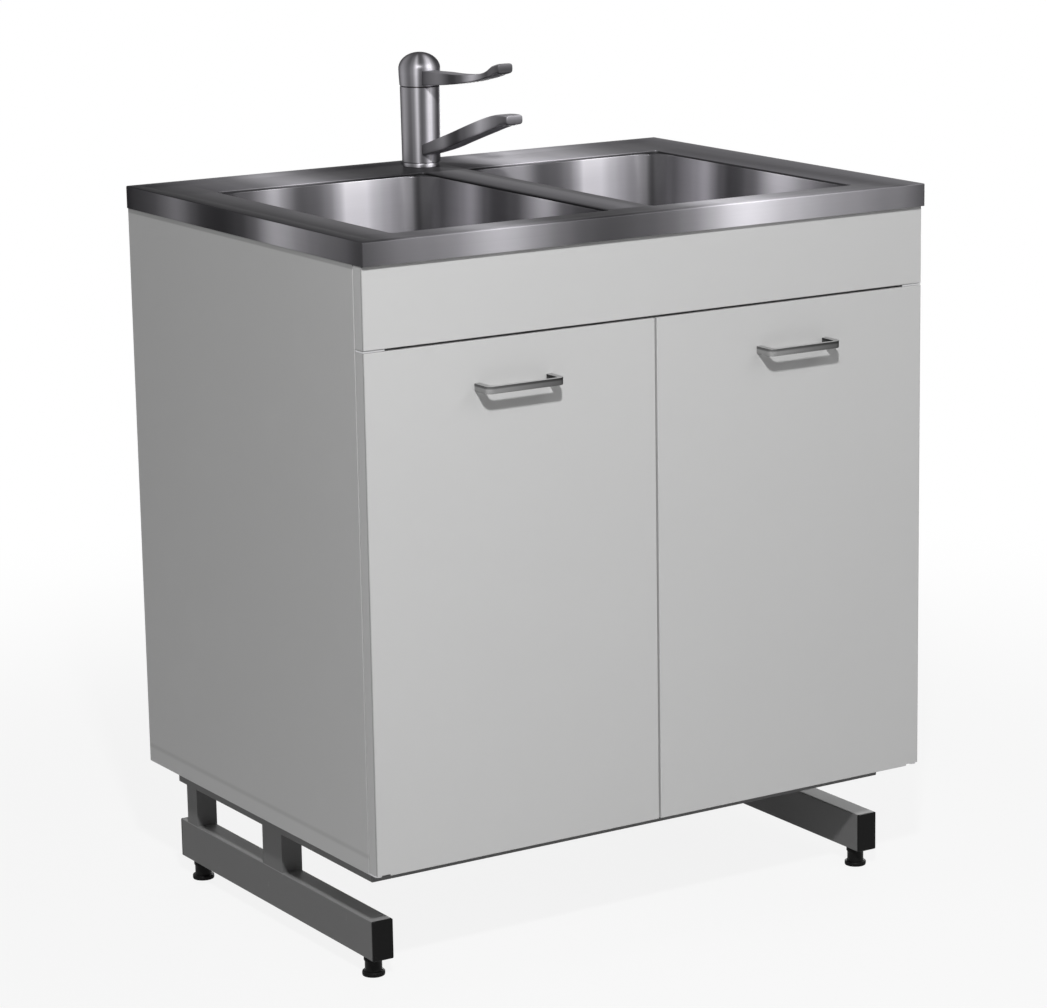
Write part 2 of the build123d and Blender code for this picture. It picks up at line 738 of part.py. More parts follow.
with BuildPart() as tap_cap:
    # domed outside, hollow inside, with two ears at the back for the lift pin
    for wall, mode in ((0.0, Mode.ADD), (cap_wall, Mode.SUBTRACT)):
        with BuildSketch(Plane.YZ) as half_section:
            with BuildLine():
                r, low, top = cap_r - wall, cap_low_r - wall, cap_top - wall
                turn, rise = cap_shoulder_r - wall, cap_top - wall - cap_straight
                crown = ((r - turn) ** 2 + rise ** 2 - turn ** 2) / (2 * (rise - turn))
                reach_out = Vector(r - turn, crown - rise).normalized() * turn
                side = Line((tap_y + low, cap_z0), (tap_y + r, deck_z + cap_straight))
                shoulder = TangentArc(side @ 1, (tap_y + r - turn + reach_out.X, deck_z + cap_straight + reach_out.Y),
                                      tangent=(0, 1))
                over = TangentArc(shoulder @ 1, (tap_y, deck_z + top), tangent=shoulder % 1)
                middle = Line(over @ 1, (tap_y, cap_z0))
                Line(middle @ 1, side @ 0)
            make_face()
        revolve(half_section.sketch, axis=Axis((0, tap_y, 0), (0, 0, 1)), mode=mode)
    ear_x = lug_w / 2 + lug_play
    for s in (-1, 1):
        slab(s * ear_x, s * (ear_x + ear_t), tap_y + lift_y - ear_h, tap_y + cap_low_r - cap_wall,
             deck_z + lift_z - ear_h, deck_z + lift_z + ear_top)
    rod_x(tap_y + lift_y, deck_z + lift_z, -ear_x - ear_t, ear_x + ear_t, lift_pin_r, Mode.SUBTRACT)
save(tap_cap, "tap_cap")

with BuildPart() as lift_pin:
    rod_x(tap_y + lift_y, deck_z + lift_z, -ear_x - ear_t, ear_x + ear_t, lift_pin_r)
save(lift_pin, "lift_pin")

with BuildPart() as tap_lever:
    with BuildSketch(Plane.YZ.offset(-lever_w / 2)):
        with BuildLine():
            upper_line = Spline(reach(lever_top))
            lower_line = Spline(reach(lever_low))
            tip = Line(upper_line @ 1, lower_line @ 0)
            base_low = Line(lower_line @ 1, (tap_y - lever_root, deck_z + lever_root_low))
            back = Line(base_low @ 1, (tap_y - lever_root, deck_z + lever_root_high))
            Line(back @ 1, upper_line @ 0)
        make_face()
    extrude(amount=lever_w)
    fillet(long_sides(tap_lever), bar_round)
    add(cap_body, mode=Mode.SUBTRACT)
save(tap_lever, "tap_lever")


# ---------------------------------------------------------------------------
# Underframe: welded side frames, cross rails, caps, levelling feet, bolts
# ---------------------------------------------------------------------------
foot_ys = (rail_y0 + foot_front_in, rail_y1 - foot_rear_in)
ring_z0 = cab_z0 - ring_tube_h
post_spans = [(rail_y1 - near - deep, rail_y1 - near)
              for near, deep in ((post_rear_in, post_rear_d), (post_mid_in, post_mid_d))]


def leg_frame(s):
    x = s * frame_x
    inner = tube_w - 2 * tube_wall
    with BuildPart() as frame:
        bar_y(x, tube_w, rail_z0, rail_z0 + rail_h, rail_y0 + cap_t, rail_y1 - cap_t, tube_round)
        bar_y(x, tube_w, ring_z0, cab_z0, rail_y0, rail_y1, tube_round)
        # the uprights reach into the round of the tubes above and below
        for y0, y1 in post_spans:
            slab(x - tube_w / 2, x + tube_w / 2, y0, y1, rail_z0 + rail_h - tube_round, ring_z0 + tube_round)
        bar_y(x, inner, rail_z0 + tube_wall, rail_z0 + rail_h - tube_wall, rail_y0 + cap_t, rail_y1 - cap_t, 0.0,
              Mode.SUBTRACT)
        bar_y(x, inner, ring_z0 + tube_wall, cab_z0 - tube_wall, rail_y0 + tube_wall, rail_y1 - tube_wall, 0.0,
              Mode.SUBTRACT)
        for y0, y1 in post_spans:
            slab(x - inner / 2, x + inner / 2, y0 + tube_wall, y1 - tube_wall, rail_z0 + rail_h - tube_wall,
                 ring_z0 + tube_wall, Mode.SUBTRACT)
        for y in foot_ys:
            rod_z(x, y, rail_z0, rail_z0 + tube_wall, foot_stem_r + foot_hole_gap, Mode.SUBTRACT)
        for y in bolt_ys:
            rod_z(x, y, cab_z0 - tube_wall, cab_z0, bolt_r + bolt_hole, Mode.SUBTRACT)
    return frame


leg_frame_left = leg_frame(-1)
save(leg_frame_left, "leg_frame_left")
leg_frame_right = leg_frame(1)
save(leg_frame_right, "leg_frame_right")

with BuildPart() as cross_rails:
    half = frame_x - tube_w / 2
    for y in (rail_y0, rail_y1 - ring_tube_h):
        slab(-half, half, y, y + ring_tube_h, ring_z0, cab_z0)
        slab(-half, half, y + tube_wall, y + ring_tube_h - tube_wall, ring_z0 + tube_wall, cab_z0 - tube_wall,
             Mode.SUBTRACT)
save(cross_rails, "cross_rails")

with BuildPart() as rail_caps:
    for s in (-1, 1):
        for y0, y1, p1 in ((rail_y0 + cap_t, rail_y0, rail_y0 + cap_t + plug_len),
                           (rail_y1 - cap_t, rail_y1, rail_y1 - cap_t - plug_len)):
            bar_y(s * frame_x, tube_w, rail_z0, rail_z0 + rail_h, min(y0, y1), max(y0, y1), tube_round)
            inner = tube_w / 2 - tube_wall - plug_clear
            z0 = rail_z0 + tube_wall + plug_clear
            z1 = rail_z0 + rail_h - tube_wall - plug_clear
            slab(s * frame_x - inner, s * frame_x + inner, min(y0, p1), max(y0, p1), z0, z1)
    for y in (rail_y0, rail_y1):
        ends = rail_caps.faces().filter_by(Plane.XZ).filter_by_position(Axis.Y, y - run_clear, y + run_clear)
        chamfer(ends.edges(), tube_round / 2)
save(rail_caps, "rail_caps")

with BuildPart() as foot_nuts:
    for s in (-1, 1):
        for y in foot_ys:
            with BuildSketch(Plane.XY.offset(rail_z0 + tube_wall)):
                with Locations((s * frame_x, y)):
                    RegularPolygon(foot_nut_r, 6, major_radius=False)
                    Circle(foot_stem_r + run_clear, mode=Mode.SUBTRACT)
            extrude(amount=foot_nut_h)
save(foot_nuts, "foot_nuts")


def foot(s, y):
    x = s * frame_x
    neck_top = rail_z0 - foot_gap
    with BuildPart() as leveller:
        rod_z(x, y, 0.0, foot_pad_h, foot_pad_r)
        chamfer(leveller.edges().group_by(Axis.Z)[-1], foot_pad_round)
        rod_z(x, y, foot_pad_h, neck_top, foot_neck_r)
        rod_z(x, y, neck_top - foot_collar_h, neck_top, foot_collar_r)
        rod_z(x, y, neck_top, rail_z0 + foot_stem_up, foot_stem_r)
    return leveller


foot_front_left = foot(-1, foot_ys[0])
save(foot_front_left, "foot_front_left")
foot_front_right = foot(1, foot_ys[0])
save(foot_front_right, "foot_front_right")
foot_rear_left = foot(-1, foot_ys[1])
save(foot_rear_left, "foot_rear_left")
foot_rear_right = foot(1, foot_ys[1])
save(foot_rear_right, "foot_rear_right")

with BuildPart() as frame_bolts:
    for s in (-1, 1):
        for y in bolt_ys:
            top = cab_z0 + board
            rod_z(s * frame_x, y, top, top + bolt_head_t, bolt_head_r)
            rod_z(s * frame_x, y, top - bolt_len, top, bolt_r)
save(frame_bolts, "frame_bolts")

with BuildPart() as frame_nuts:
    for s in (-1, 1):
        for y in bolt_ys:
            z1 = cab_z0 - tube_wall
            rod_z(s * frame_x, y, z1 - frame_nut_h, z1, frame_nut_r)
            rod_z(s * frame_x, y, z1 - frame_nut_h, z1, bolt_r, Mode.SUBTRACT)
save(frame_nuts, "frame_nuts")

# ---------------------------------------------------------------------------
# Doors, pivots and handles
# ---------------------------------------------------------------------------
pivot_x = face_x - pivot_in
pivot_y = face_y + door_t - pivot_back
leaf_z = door_top + leaf_gap
plate_top = cab_z0 + leaf_t


def door(s):
    with BuildPart() as leaf:
        slab(s * door_gap / 2, s * face_x, face_y, face_y + door_t, cab_z0, door_top)
        front_face = leaf.faces().sort_by(Axis.Y)[0]
        fillet(front_face.edges(), door_edge_r)
        # relief over the bottom hinge plate and the two pivot holes
        rod_z(s * pivot_x, pivot_y, cab_z0, plate_top + door_lift, notch_r, Mode.SUBTRACT)
        rod_z(s * pivot_x, pivot_y, plate_top, plate_top + pin_len + 1.0, pin_r + pin_run, Mode.SUBTRACT)
        rod_z(s * pivot_x, pivot_y, door_top - pin_len - 1.0, door_top, pin_r + pin_run, Mode.SUBTRACT)
        for d in (-1, 1):
            rod_y(s * handle_x + d * handle_pitch / 2, handle_z, face_y, face_y + door_t, handle_screw_r,
                  Mode.SUBTRACT)
    return leaf


door_left = door(-1)
save(door_left, "door_left")
door_right = door(1)
save(door_right, "door_right")


def handle(s):
    x = s * handle_x
    half = handle_pitch / 2 + handle_leg / 2
    with BuildPart() as bow:
        with BuildSketch(Plane.XY.offset(handle_z - handle_tall / 2)):
            with BuildLine():
                Polyline((x - half, face_y), (x - half, face_y - handle_out), (x + half, face_y - handle_out),
                         (x + half, face_y), (x - half, face_y))
            make_face()
            corners = vertices().sort_by(Axis.Y)[0:2]
            fillet(corners, handle_bend)
            with BuildLine():
                gap_x = half - handle_leg
                Polyline((x - gap_x, face_y), (x - gap_x, face_y - handle_out + handle_bar),
                         (x + gap_x, face_y - handle_out + handle_bar), (x + gap_x, face_y), (x - gap_x, face_y))
            make_face(mode=Mode.SUBTRACT)
        extrude(amount=handle_tall)
        inner_corner = bow.edges().filter_by(Axis.Z).filter_by_position(
            Axis.Y, face_y - handle_out + handle_bar - 0.1, face_y - handle_out + handle_bar + 0.1)
        fillet(inner_corner, handle_bend - handle_leg)
        outer = bow.edges().filter_by_position(Axis.Y, face_y - handle_out - 0.1, face_y - handle_out + 0.1)
        fillet(outer.filter_by(Axis.X), handle_round)
        for d in (-1, 1):
            rod_y(x + d * handle_pitch / 2, handle_z, face_y - handle_thread, face_y, handle_screw_r, Mode.SUBTRACT)
    return bow


handle_left = handle(-1)
save(handle_left, "handle_left")
handle_right = handle(1)
save(handle_right, "handle_right")


def handle_screws(s):
    with BuildPart() as screws:
        for d in (-1, 1):
            x = s * handle_x + d * handle_pitch / 2
            back = face_y + door_t
            rod_y(x, handle_z, back, back + handle_head_t, handle_head_r)
            rod_y(x, handle_z, face_y - handle_thread + 1.0, back, handle_screw_r)
    return screws


handle_screws_left = handle_screws(-1)
save(handle_screws_left, "handle_screws_left")
handle_screws_right = handle_screws(1)
save(handle_screws_right, "handle_screws_right")


def strike(s):
    with BuildPart() as plate:
        slab(s * catch_x - strike_w / 2, s * catch_x + strike_w / 2, face_y + door_t, face_y + door_t + strike_t,
             door_top - strike_down - strike_h, door_top - strike_down)
    return plate


strike_left = strike(-1)
save(strike_left, "strike_left")
strike_right = strike(1)
save(strike_right, "strike_right")


def hinge_bracket(s):
    with BuildPart() as bracket:
        # leaf in the gap over the door, returning along the panel's inner face
        y0 = face_y + leaf_front
        slab(s * (in_x - bracket_w), s * face_x, y0, case_front - bracket_gap, leaf_z, leaf_z + leaf_t)
        slab(s * (in_x - bracket_w), s * in_x, case_front - bracket_gap, case_front + leaf_reach, leaf_z,
             leaf_z + leaf_t)
        slab(s * (in_x - leaf_t), s * in_x, case_front + return_gap, case_front + leaf_reach, leaf_z - bracket_drop,
             leaf_z + leaf_t)
        rod_z(s * pivot_x, pivot_y, leaf_z - pin_len, leaf_z, pin_r)
        for z in bracket_screw_zs():
            rod_x(bracket_screw_y(), z, s * (in_x - leaf_t), s * in_x, screw_r, Mode.SUBTRACT)
    return bracket


hinge_bracket_left = hinge_bracket(-1)
save(hinge_bracket_left, "hinge_bracket_left")
hinge_bracket_right = hinge_bracket(1)
save(hinge_bracket_right, "hinge_bracket_right")


def hinge_plate(s):
    x = s * pivot_x
    y1 = face_y + plate_len - pocket_clear
    with BuildPart() as plate:
        slab(x - pivot_in, x + pivot_in, pivot_y, y1, cab_z0, plate_top)
        rod_z(x, pivot_y, cab_z0, plate_top, pivot_in)
        rod_z(x, pivot_y, plate_top, plate_top + pin_len, pin_r)
        for y in plate_screw_ys():
            rod_z(x, y, cab_z0, plate_top, screw_r, Mode.SUBTRACT)
            rod_z(x, y, cab_z0, cab_z0 + sunk_head_t, sunk_head_r, Mode.SUBTRACT)
    return plate


hinge_plate_left = hinge_plate(-1)
save(hinge_plate_left, "hinge_plate_left")
hinge_plate_right = hinge_plate(1)
save(hinge_plate_right, "hinge_plate_right")

with BuildPart() as bracket_screws:
    for s in (-1, 1):
        for z in bracket_screw_zs():
            y = bracket_screw_y()
            rod_x(y, z, s * (in_x - leaf_t - screw_head_t), s * (in_x - leaf_t), screw_head_r)
            rod_x(y, z, s * (in_x - leaf_t), s * (in_x + screw_len - screw_end), screw_r)
save(bracket_screws, "bracket_screws")

with BuildPart() as plate_screws:
    for s in (-1, 1):
        for y in plate_screw_ys():
            rod_z(s * pivot_x, y, cab_z0, cab_z0 + sunk_head_t, sunk_head_r)
            rod_z(s * pivot_x, y, cab_z0 + sunk_head_t, cab_z0 + screw_len - screw_end, screw_r)
save(plate_screws, "plate_screws")
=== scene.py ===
from math import atan2, cos, degrees, pi, radians, sin

import bpy
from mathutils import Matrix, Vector


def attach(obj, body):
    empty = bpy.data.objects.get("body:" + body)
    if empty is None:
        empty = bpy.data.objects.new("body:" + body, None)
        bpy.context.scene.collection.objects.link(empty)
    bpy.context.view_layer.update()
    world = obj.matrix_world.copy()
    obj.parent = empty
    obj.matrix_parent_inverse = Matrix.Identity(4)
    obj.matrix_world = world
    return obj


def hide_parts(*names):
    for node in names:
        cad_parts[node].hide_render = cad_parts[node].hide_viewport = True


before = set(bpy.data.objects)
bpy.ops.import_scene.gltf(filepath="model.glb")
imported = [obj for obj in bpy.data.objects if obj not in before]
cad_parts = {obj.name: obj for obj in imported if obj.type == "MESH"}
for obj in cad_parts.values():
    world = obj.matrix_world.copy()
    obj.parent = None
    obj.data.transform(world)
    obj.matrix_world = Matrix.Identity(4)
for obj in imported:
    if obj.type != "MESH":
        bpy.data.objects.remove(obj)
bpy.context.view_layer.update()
print("frame loaded:", len(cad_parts), "nodes")


# bench helpers: places and sizes are in millimetres

weld = 0.005  # points closer than this are merged


def metres(*values):
    return tuple(value / 1000 for value in values)


def dropAll():
    if bpy.context.object and bpy.context.object.mode == "EDIT":
        bpy.ops.object.mode_set(mode="OBJECT")
    bpy.ops.object.select_all(action="DESELECT")


def hold(piece):
    dropAll()
    piece.select_set(True)
    bpy.context.view_layer.objects.active = piece


def openMesh(piece):
    hold(piece)
    bpy.ops.object.mode_set(mode="EDIT")


def settle(piece):
    hold(piece)
    bpy.ops.object.transform_apply(location=True, rotation=True, scale=True)


def copyOf(piece, x, y):
    hold(piece)
    bpy.ops.object.duplicate(linked=False)
    twin = bpy.context.object
    twin.location = metres(x, y, 0)
    settle(twin)
    return twin


def pick(piece, kind, wanted):
    # an edge is offered with its two ends and the normals of the faces beside it
    openMesh(piece)
    bpy.ops.mesh.select_mode(type=kind)
    bpy.ops.mesh.select_all(action="DESELECT")
    bpy.ops.object.mode_set(mode="OBJECT")
    mesh = piece.data
    place = [vertex.co * 1000 for vertex in mesh.vertices]
    if kind == "VERT":
        for vertex in mesh.vertices:
            vertex.select = wanted(place[vertex.index])
    elif kind == "FACE":
        for face in mesh.polygons:
            face.select = wanted(face.center * 1000, face.normal)
    else:
        beside = {}
        for face in mesh.polygons:
            for key in face.edge_keys:
                beside.setdefault(key, []).append(face.normal)
        for edge in mesh.edges:
            a, b = edge.vertices
            edge.select = wanted(place[a], place[b], beside.get(edge.key, []))
    bpy.ops.object.mode_set(mode="EDIT")


def near(a, b, slack=0.05):
    return abs(a - b) < slack


def bothNear(a, b, value):
    return near(a, value) and near(b, value)


def sharp(normals, least=50):
    return len(normals) == 2 and normals[0].dot(normals[1]) < cos(radians(least))


def pickAll():
    bpy.ops.mesh.select_all(action="SELECT")


def faceOutwards():
    pickAll()
    bpy.ops.mesh.normals_make_consistent(inside=False)


def move(x, y, z):
    bpy.ops.transform.translate(value=metres(x, y, z))


def scaleAbout(x, y, z, centre):
    bpy.ops.transform.resize(value=(x, y, z), center_override=metres(*centre))


def drawEdges(x, y, z):
    bpy.ops.mesh.extrude_edges_move(TRANSFORM_OT_translate={"value": metres(x, y, z)})


def drawFaces(x, y, z):
    bpy.ops.mesh.extrude_region_move(TRANSFORM_OT_translate={"value": metres(x, y, z)})


def roundOff(piece, wanted, radius, steps):
    pick(piece, "EDGE", wanted)
    bpy.ops.mesh.bevel(offset=radius / 1000, segments=steps, affect="EDGES", clamp_overlap=False)


def sliceAcross(piece, direction, places):
    openMesh(piece)
    for place in places:
        pickAll()
        point = metres(*(place * part for part in direction))
        bpy.ops.mesh.bisect(plane_co=point, plane_no=direction)


def block(x0, x1, y0, y1, z0, z1):
    dropAll()
    middle = metres((x0 + x1) / 2, (y0 + y1) / 2, (z0 + z1) / 2)
    bpy.ops.mesh.primitive_cube_add(size=1, location=middle)
    piece = bpy.context.object
    piece.scale = metres(x1 - x0, y1 - y0, z1 - z0)
    settle(piece)
    return piece


def turn(rings, x, y, sides, closed=False):
    # a lathe: rings are radius and height, an open profile gets both ends filled
    dropAll()
    radius, height = rings[0]
    bpy.ops.mesh.primitive_circle_add(vertices=sides, radius=radius / 1000,
                                      location=metres(x, y, height))
    piece = bpy.context.object
    settle(piece)
    bpy.ops.object.mode_set(mode="EDIT")
    bpy.ops.mesh.select_mode(type="EDGE")
    pickAll()
    if not closed:
        bpy.ops.mesh.edge_face_add()
    for nextRadius, nextHeight in rings[1:] + (rings[:1] if closed else []):
        drawEdges(0, 0, nextHeight - height)
        if nextRadius != radius:
            scaleAbout(nextRadius / radius, nextRadius / radius, 1, (x, y, nextHeight))
        radius, height = nextRadius, nextHeight
    if not closed:
        bpy.ops.mesh.edge_face_add()
    pickAll()
    bpy.ops.mesh.remove_doubles(threshold=weld / 1000)
    faceOutwards()
    return piece


def arc(radius, height, across, up, start, end, steps):
    # rings of a rounded shoulder round the point at radius and height
    turns = [radians(start + (end - start) * step / steps) for step in range(steps + 1)]
    return [(radius + across * cos(angle), height + up * sin(angle)) for angle in turns]


def modifier(piece, kind, **settings):
    hold(piece)
    added = piece.modifiers.new(kind.lower(), kind)
    for key, value in settings.items():
        setattr(added, key, value)
    bpy.ops.object.modifier_apply(modifier=added.name)


def wall(piece, thickness):
    modifier(piece, "SOLIDIFY", thickness=thickness / 1000, offset=-1, use_even_offset=True)


def finishPiece(piece, name, body, slotName, material, *nodes, smooth=30):
    settle(piece)
    bpy.ops.object.shade_smooth_by_angle(angle=radians(smooth))
    piece.name = piece.data.name = name
    piece.data.materials.clear()
    piece.data.materials.append(material)
    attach(piece, body)
    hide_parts(*nodes)
    print("made", name, len(piece.data.polygons), "faces")


# finishes: sums on sockets are written as plain sums

class Signal:
    def __init__(self, net, socket):
        self.net, self.socket = net, socket

    def beside(self, output):
        return Signal(self.net, self.socket.node.outputs[output])

    def sum(self, operation, *values):
        return self.net.node("ShaderNodeMath", {"operation": operation}, values)

    def __add__(self, other):
        return self.sum("ADD", self, other)

    def __sub__(self, other):
        return self.sum("SUBTRACT", self, other)

    def __rsub__(self, other):
        return self.sum("SUBTRACT", other, self)

    def __mul__(self, other):
        return self.sum("MULTIPLY", self, other)

    def __truediv__(self, other):
        return self.sum("DIVIDE", self, other)

    def __rtruediv__(self, other):
        return self.sum("DIVIDE", other, self)

    def __abs__(self):
        return self.sum("ABSOLUTE", self)

    def __gt__(self, other):
        return self.sum("GREATER_THAN", self, other)

    def __lt__(self, other):
        return self.sum("LESS_THAN", self, other)

    __radd__, __rmul__ = __add__, __mul__


class Net:
    def __init__(self, tree):
        self.tree = tree
        tree.nodes.clear()

    def node(self, kind, settings, values, output=0):
        made = self.tree.nodes.new(kind)
        for key, value in settings.items():
            if key == "stops":
                setStops(made.color_ramp, value)
            elif key == "softness":
                made.color_ramp.interpolation = value
            else:
                setattr(made, key, value)
        for key, value in values.items() if isinstance(values, dict) else enumerate(values):
            if isinstance(value, Signal):
                self.tree.links.new(value.socket, made.inputs[key])
            else:
                made.inputs[key].default_value = value
        return Signal(self, made.outputs[output]) if made.outputs else None


def grey(value):
    return (value, value, value, 1)


def setStops(ramp, stops):
    stops = [(place, value if isinstance(value, tuple) else grey(value))
             for place, value in sorted(stops)]
    for element, (place, colour) in zip(ramp.elements, (stops[0], stops[-1])):
        element.position, element.color = place, colour
    for place, colour in stops[1:-1]:
        ramp.elements.new(place).color = colour


def tone(level):
    # the linear grey that shows as this level out of 255
    return (level / 255) ** 2.2


class Finish(Net):
    darkest = 0.002  # no band of steel is darker than this

    def __init__(self, name, **fixed):
        self.material = bpy.data.materials.new(name)
        self.material.use_nodes = True
        super().__init__(self.material.node_tree)
        self.fixed = fixed
        self.place = self.node("ShaderNodeTexCoord", {}, {}, "Object")
        self.x = self.node("ShaderNodeSeparateXYZ", {}, [self.place])
        self.y, self.z = self.x.beside("Y"), self.x.beside("Z")

    def noise(self, scale, detail=2.0, stretch=None):
        where = self.place
        if stretch:
            where = self.vector("MULTIPLY", self.place, stretch)
        values = {"Vector": where, "Scale": scale, "Detail": detail}
        return self.node("ShaderNodeTexNoise", {}, values)

    def strokes(self, *stretch, detail=3.0):
        # brush marks: noise drawn out along the axis with the small number
        return self.noise(1.0, detail, stretch)

    def vector(self, operation, *values, output=0):
        return self.node("ShaderNodeVectorMath", {"operation": operation}, values, output)

    def ramp(self, value, stops, softness="LINEAR"):
        return self.node("ShaderNodeValToRGB", {"softness": softness, "stops": stops}, [value])

    def paintedReflections(self, share, levels, start, end, gain=1.0, lift=0.0):
        # painted reflection bands: the steel that shows as these levels, once the light has added its part
        stops = [((place - start) / (end - start), max(tone(level) - lift, self.darkest) / gain)
                 for place, level in levels]
        return self.ramp(share, stops, "CARDINAL")

    def spread(self, value, low, high, newLow=0.0, newHigh=1.0):
        return self.node("ShaderNodeMapRange", {"interpolation_type": "SMOOTHSTEP"},
                         [value, low, high, newLow, newHigh])

    def over(self, value, low, high, newLow=0.0, newHigh=1.0):
        # a soft step between two places in millimetres
        return self.spread(value, low / 1000, high / 1000, newLow, newHigh)

    def within(self, value, low, high):
        return self.over(value, low, high, 1.0, 0.0)

    def share(self, value, start, end):
        # 0 at the start and 1 at the end, both in millimetres
        return (value - start / 1000) / ((end - start) / 1000)

    def blend(self, factor, a, b):
        return self.node("ShaderNodeMix", {"data_type": "RGBA"}, {0: factor, 6: a, 7: b}, 2)

    def tinted(self, colour, tint):
        settings = {"data_type": "RGBA", "blend_type": "MULTIPLY"}
        return self.node("ShaderNodeMix", settings, {0: 1.0, 6: colour, 7: tint}, 2)

    def shade(self, colour, factor):
        # a colour made lighter or darker by a number
        start = colour if isinstance(colour, Signal) else colour[:3]
        return self.node("ShaderNodeVectorMath", {"operation": "SCALE"},
                         {0: start, "Scale": factor})

    def bump(self, height, distance, strength=1.0):
        values = {"Height": height, "Distance": distance / 1000, "Strength": strength}
        return self.node("ShaderNodeBump", {}, values)

    def shader(self, **varied):
        values = {key.replace("_", " "): value for key, value in {**self.fixed, **varied}.items()}
        return self.node("ShaderNodeBsdfPrincipled", {}, values)

    def send(self, **varied):
        self.node("ShaderNodeOutputMaterial", {}, {"Surface": self.shader(**varied)})
        return self.material


# satin steel: partly mirror, partly soft, so that it takes shadows as brushed sheet does
satin = {"Metallic": 0.4, "Specular_IOR_Level": 0.0, "Specular_Tint": grey(0.3)}
steelTint = (1.0, 0.978, 1.04, 1)

deckLook = {
    # painted reflection bands, as levels by x along the top's front and back edges and the front skirt, by y
    # along the ends
    "topFront": [
        (-400, 76), (-380, 78), (-365, 81), (-340, 99), (-300, 104), (-260, 124), (-220, 155), (-180, 128),
        (-140, 96), (-100, 80), (-60, 76), (-20, 85), (20, 97), (60, 130), (100, 182), (130, 196), (180, 167),
        (220, 141), (260, 127), (300, 115), (340, 106), (365, 97), (380, 110), (400, 112)],
    "topBack": [
        (-400, 74), (-380, 76), (-350, 88), (-320, 99), (-290, 108), (-260, 118), (-230, 145), (-200, 146),
        (-170, 123), (-140, 100), (-110, 86), (-80, 78), (-50, 78), (0, 88), (60, 104), (90, 156), (120, 186),
        (150, 181), (180, 167), (210, 160), (240, 142), (270, 124), (300, 108), (330, 103), (360, 98),
        (390, 110)],
    "front": [
        (-400, 80), (-360, 105), (-330, 116), (-300, 121), (-270, 138), (-240, 165), (-210, 173), (-180, 150),
        (-150, 120), (-120, 95), (-90, 81), (-60, 77), (-30, 85), (0, 94), (30, 114), (60, 145), (90, 189),
        (120, 220), (150, 216), (180, 192), (210, 175), (240, 157), (270, 144), (300, 136), (330, 123),
        (365, 116), (400, 84)],
    "ends": [
        (-288, 54), (-250, 77), (-190, 93), (-160, 104), (-130, 120), (-100, 138), (-70, 136), (-40, 97),
        (-10, 69), (20, 57), (65, 50), (110, 62), (140, 84), (170, 104), (200, 94), (230, 75), (290, 58),
        (312, 54)],
    "topGain": 0.5, "topLift": 0.04, "frontGain": 1.0, "endGain": 0.6,
    "strip": 128, "stripX": (23, 31), "stripY": (206, 220), "stripPaintedHighlight": (2, 24, 1.15, 0.72),
    "lipX": 345, "lipY": 240, "lipZ": (896.8, 897.8), "lipPaintedShade": 0.7,
    "skirtX": (398.8, 399.6), "skirtY": (298.8, 299.6), "skirtZ": (898.8, 899.6),
    "wander": 0.014, "grain": 520, "broadGrain": 70, "roughness": 0.26,
}


def deckSteel():
    look, d = deckLook, deck
    steel = Finish("deckSteel", **satin)
    middleY, mouthY = (d["front"] + d["back"]) / 2, (d["mouthFront"] + d["mouthBack"]) / 2
    wander = (steel.noise(3.0, 1.0) - 0.5) * look["wander"]
    along = steel.share(steel.x, d["left"], d["right"]) + wander
    back = steel.share(steel.y, d["front"], d["back"]) + wander
    fore, aft = (steel.paintedReflections(along, look[end], d["left"], d["right"],
                             look["topGain"], look["topLift"]) for end in ("topFront", "topBack"))
    top = steel.blend(steel.over(steel.y, d["mouthFront"], d["mouthBack"]), fore, aft)
    # a painted highlight runs along the crowned strip between the bowls, and painted shade darkens the lips of
    # the mouths
    offX, offY = abs(steel.x), abs(steel.y - mouthY / 1000)
    strip = steel.within(offX, *look["stripX"]) * steel.within(offY, *look["stripY"])
    paintedCrown = steel.shade(grey(tone(look["strip"])), steel.over(offX, *look["stripPaintedHighlight"]))
    top = steel.blend(strip, top, paintedCrown)
    inside = (offX < look["lipX"] / 1000) * (offY < look["lipY"] / 1000)
    lip = 1 - inside * steel.over(steel.z, *look["lipZ"], look["lipPaintedShade"], 0.0)
    # the skirt carries its own painted reflection bands: those of its ends run from front to back
    front = steel.paintedReflections(along, look["front"], d["left"], d["right"], look["frontGain"])
    ends = steel.paintedReflections(back, look["ends"], d["front"], d["back"], look["endGain"])
    below = steel.within(steel.z, *look["skirtZ"])
    onFront = steel.over(abs(steel.y - middleY / 1000), *look["skirtY"]) * below
    onEnd = steel.over(offX, *look["skirtX"]) * below
    paintedReflections = steel.blend(onEnd, steel.blend(onFront, top, front), ends)
    grain, broadGrain = look["grain"], look["broadGrain"]
    strokesX, strokesY = steel.strokes(3, grain, grain), steel.strokes(grain, 3, grain)
    strokes = strokesX * (1 - onEnd) + strokesY * onEnd
    broad = steel.strokes(2, broadGrain, broadGrain, detail=2.0)
    rubbed = steel.spread(steel.noise(16.0, 4.0), 0.5, 0.75)
    # wear marks times the painted shade of the lips
    wearAndAnyPaintedLight = (0.94 + strokes * 0.07 + broad * 0.05) * lip
    return steel.send(Base_Color=steel.tinted(steel.shade(paintedReflections, wearAndAnyPaintedLight), steelTint),
                      Roughness=look["roughness"] + strokes * 0.08 + rubbed * 0.04,
                      Normal=steel.bump(strokes, 0.02, 0.3))


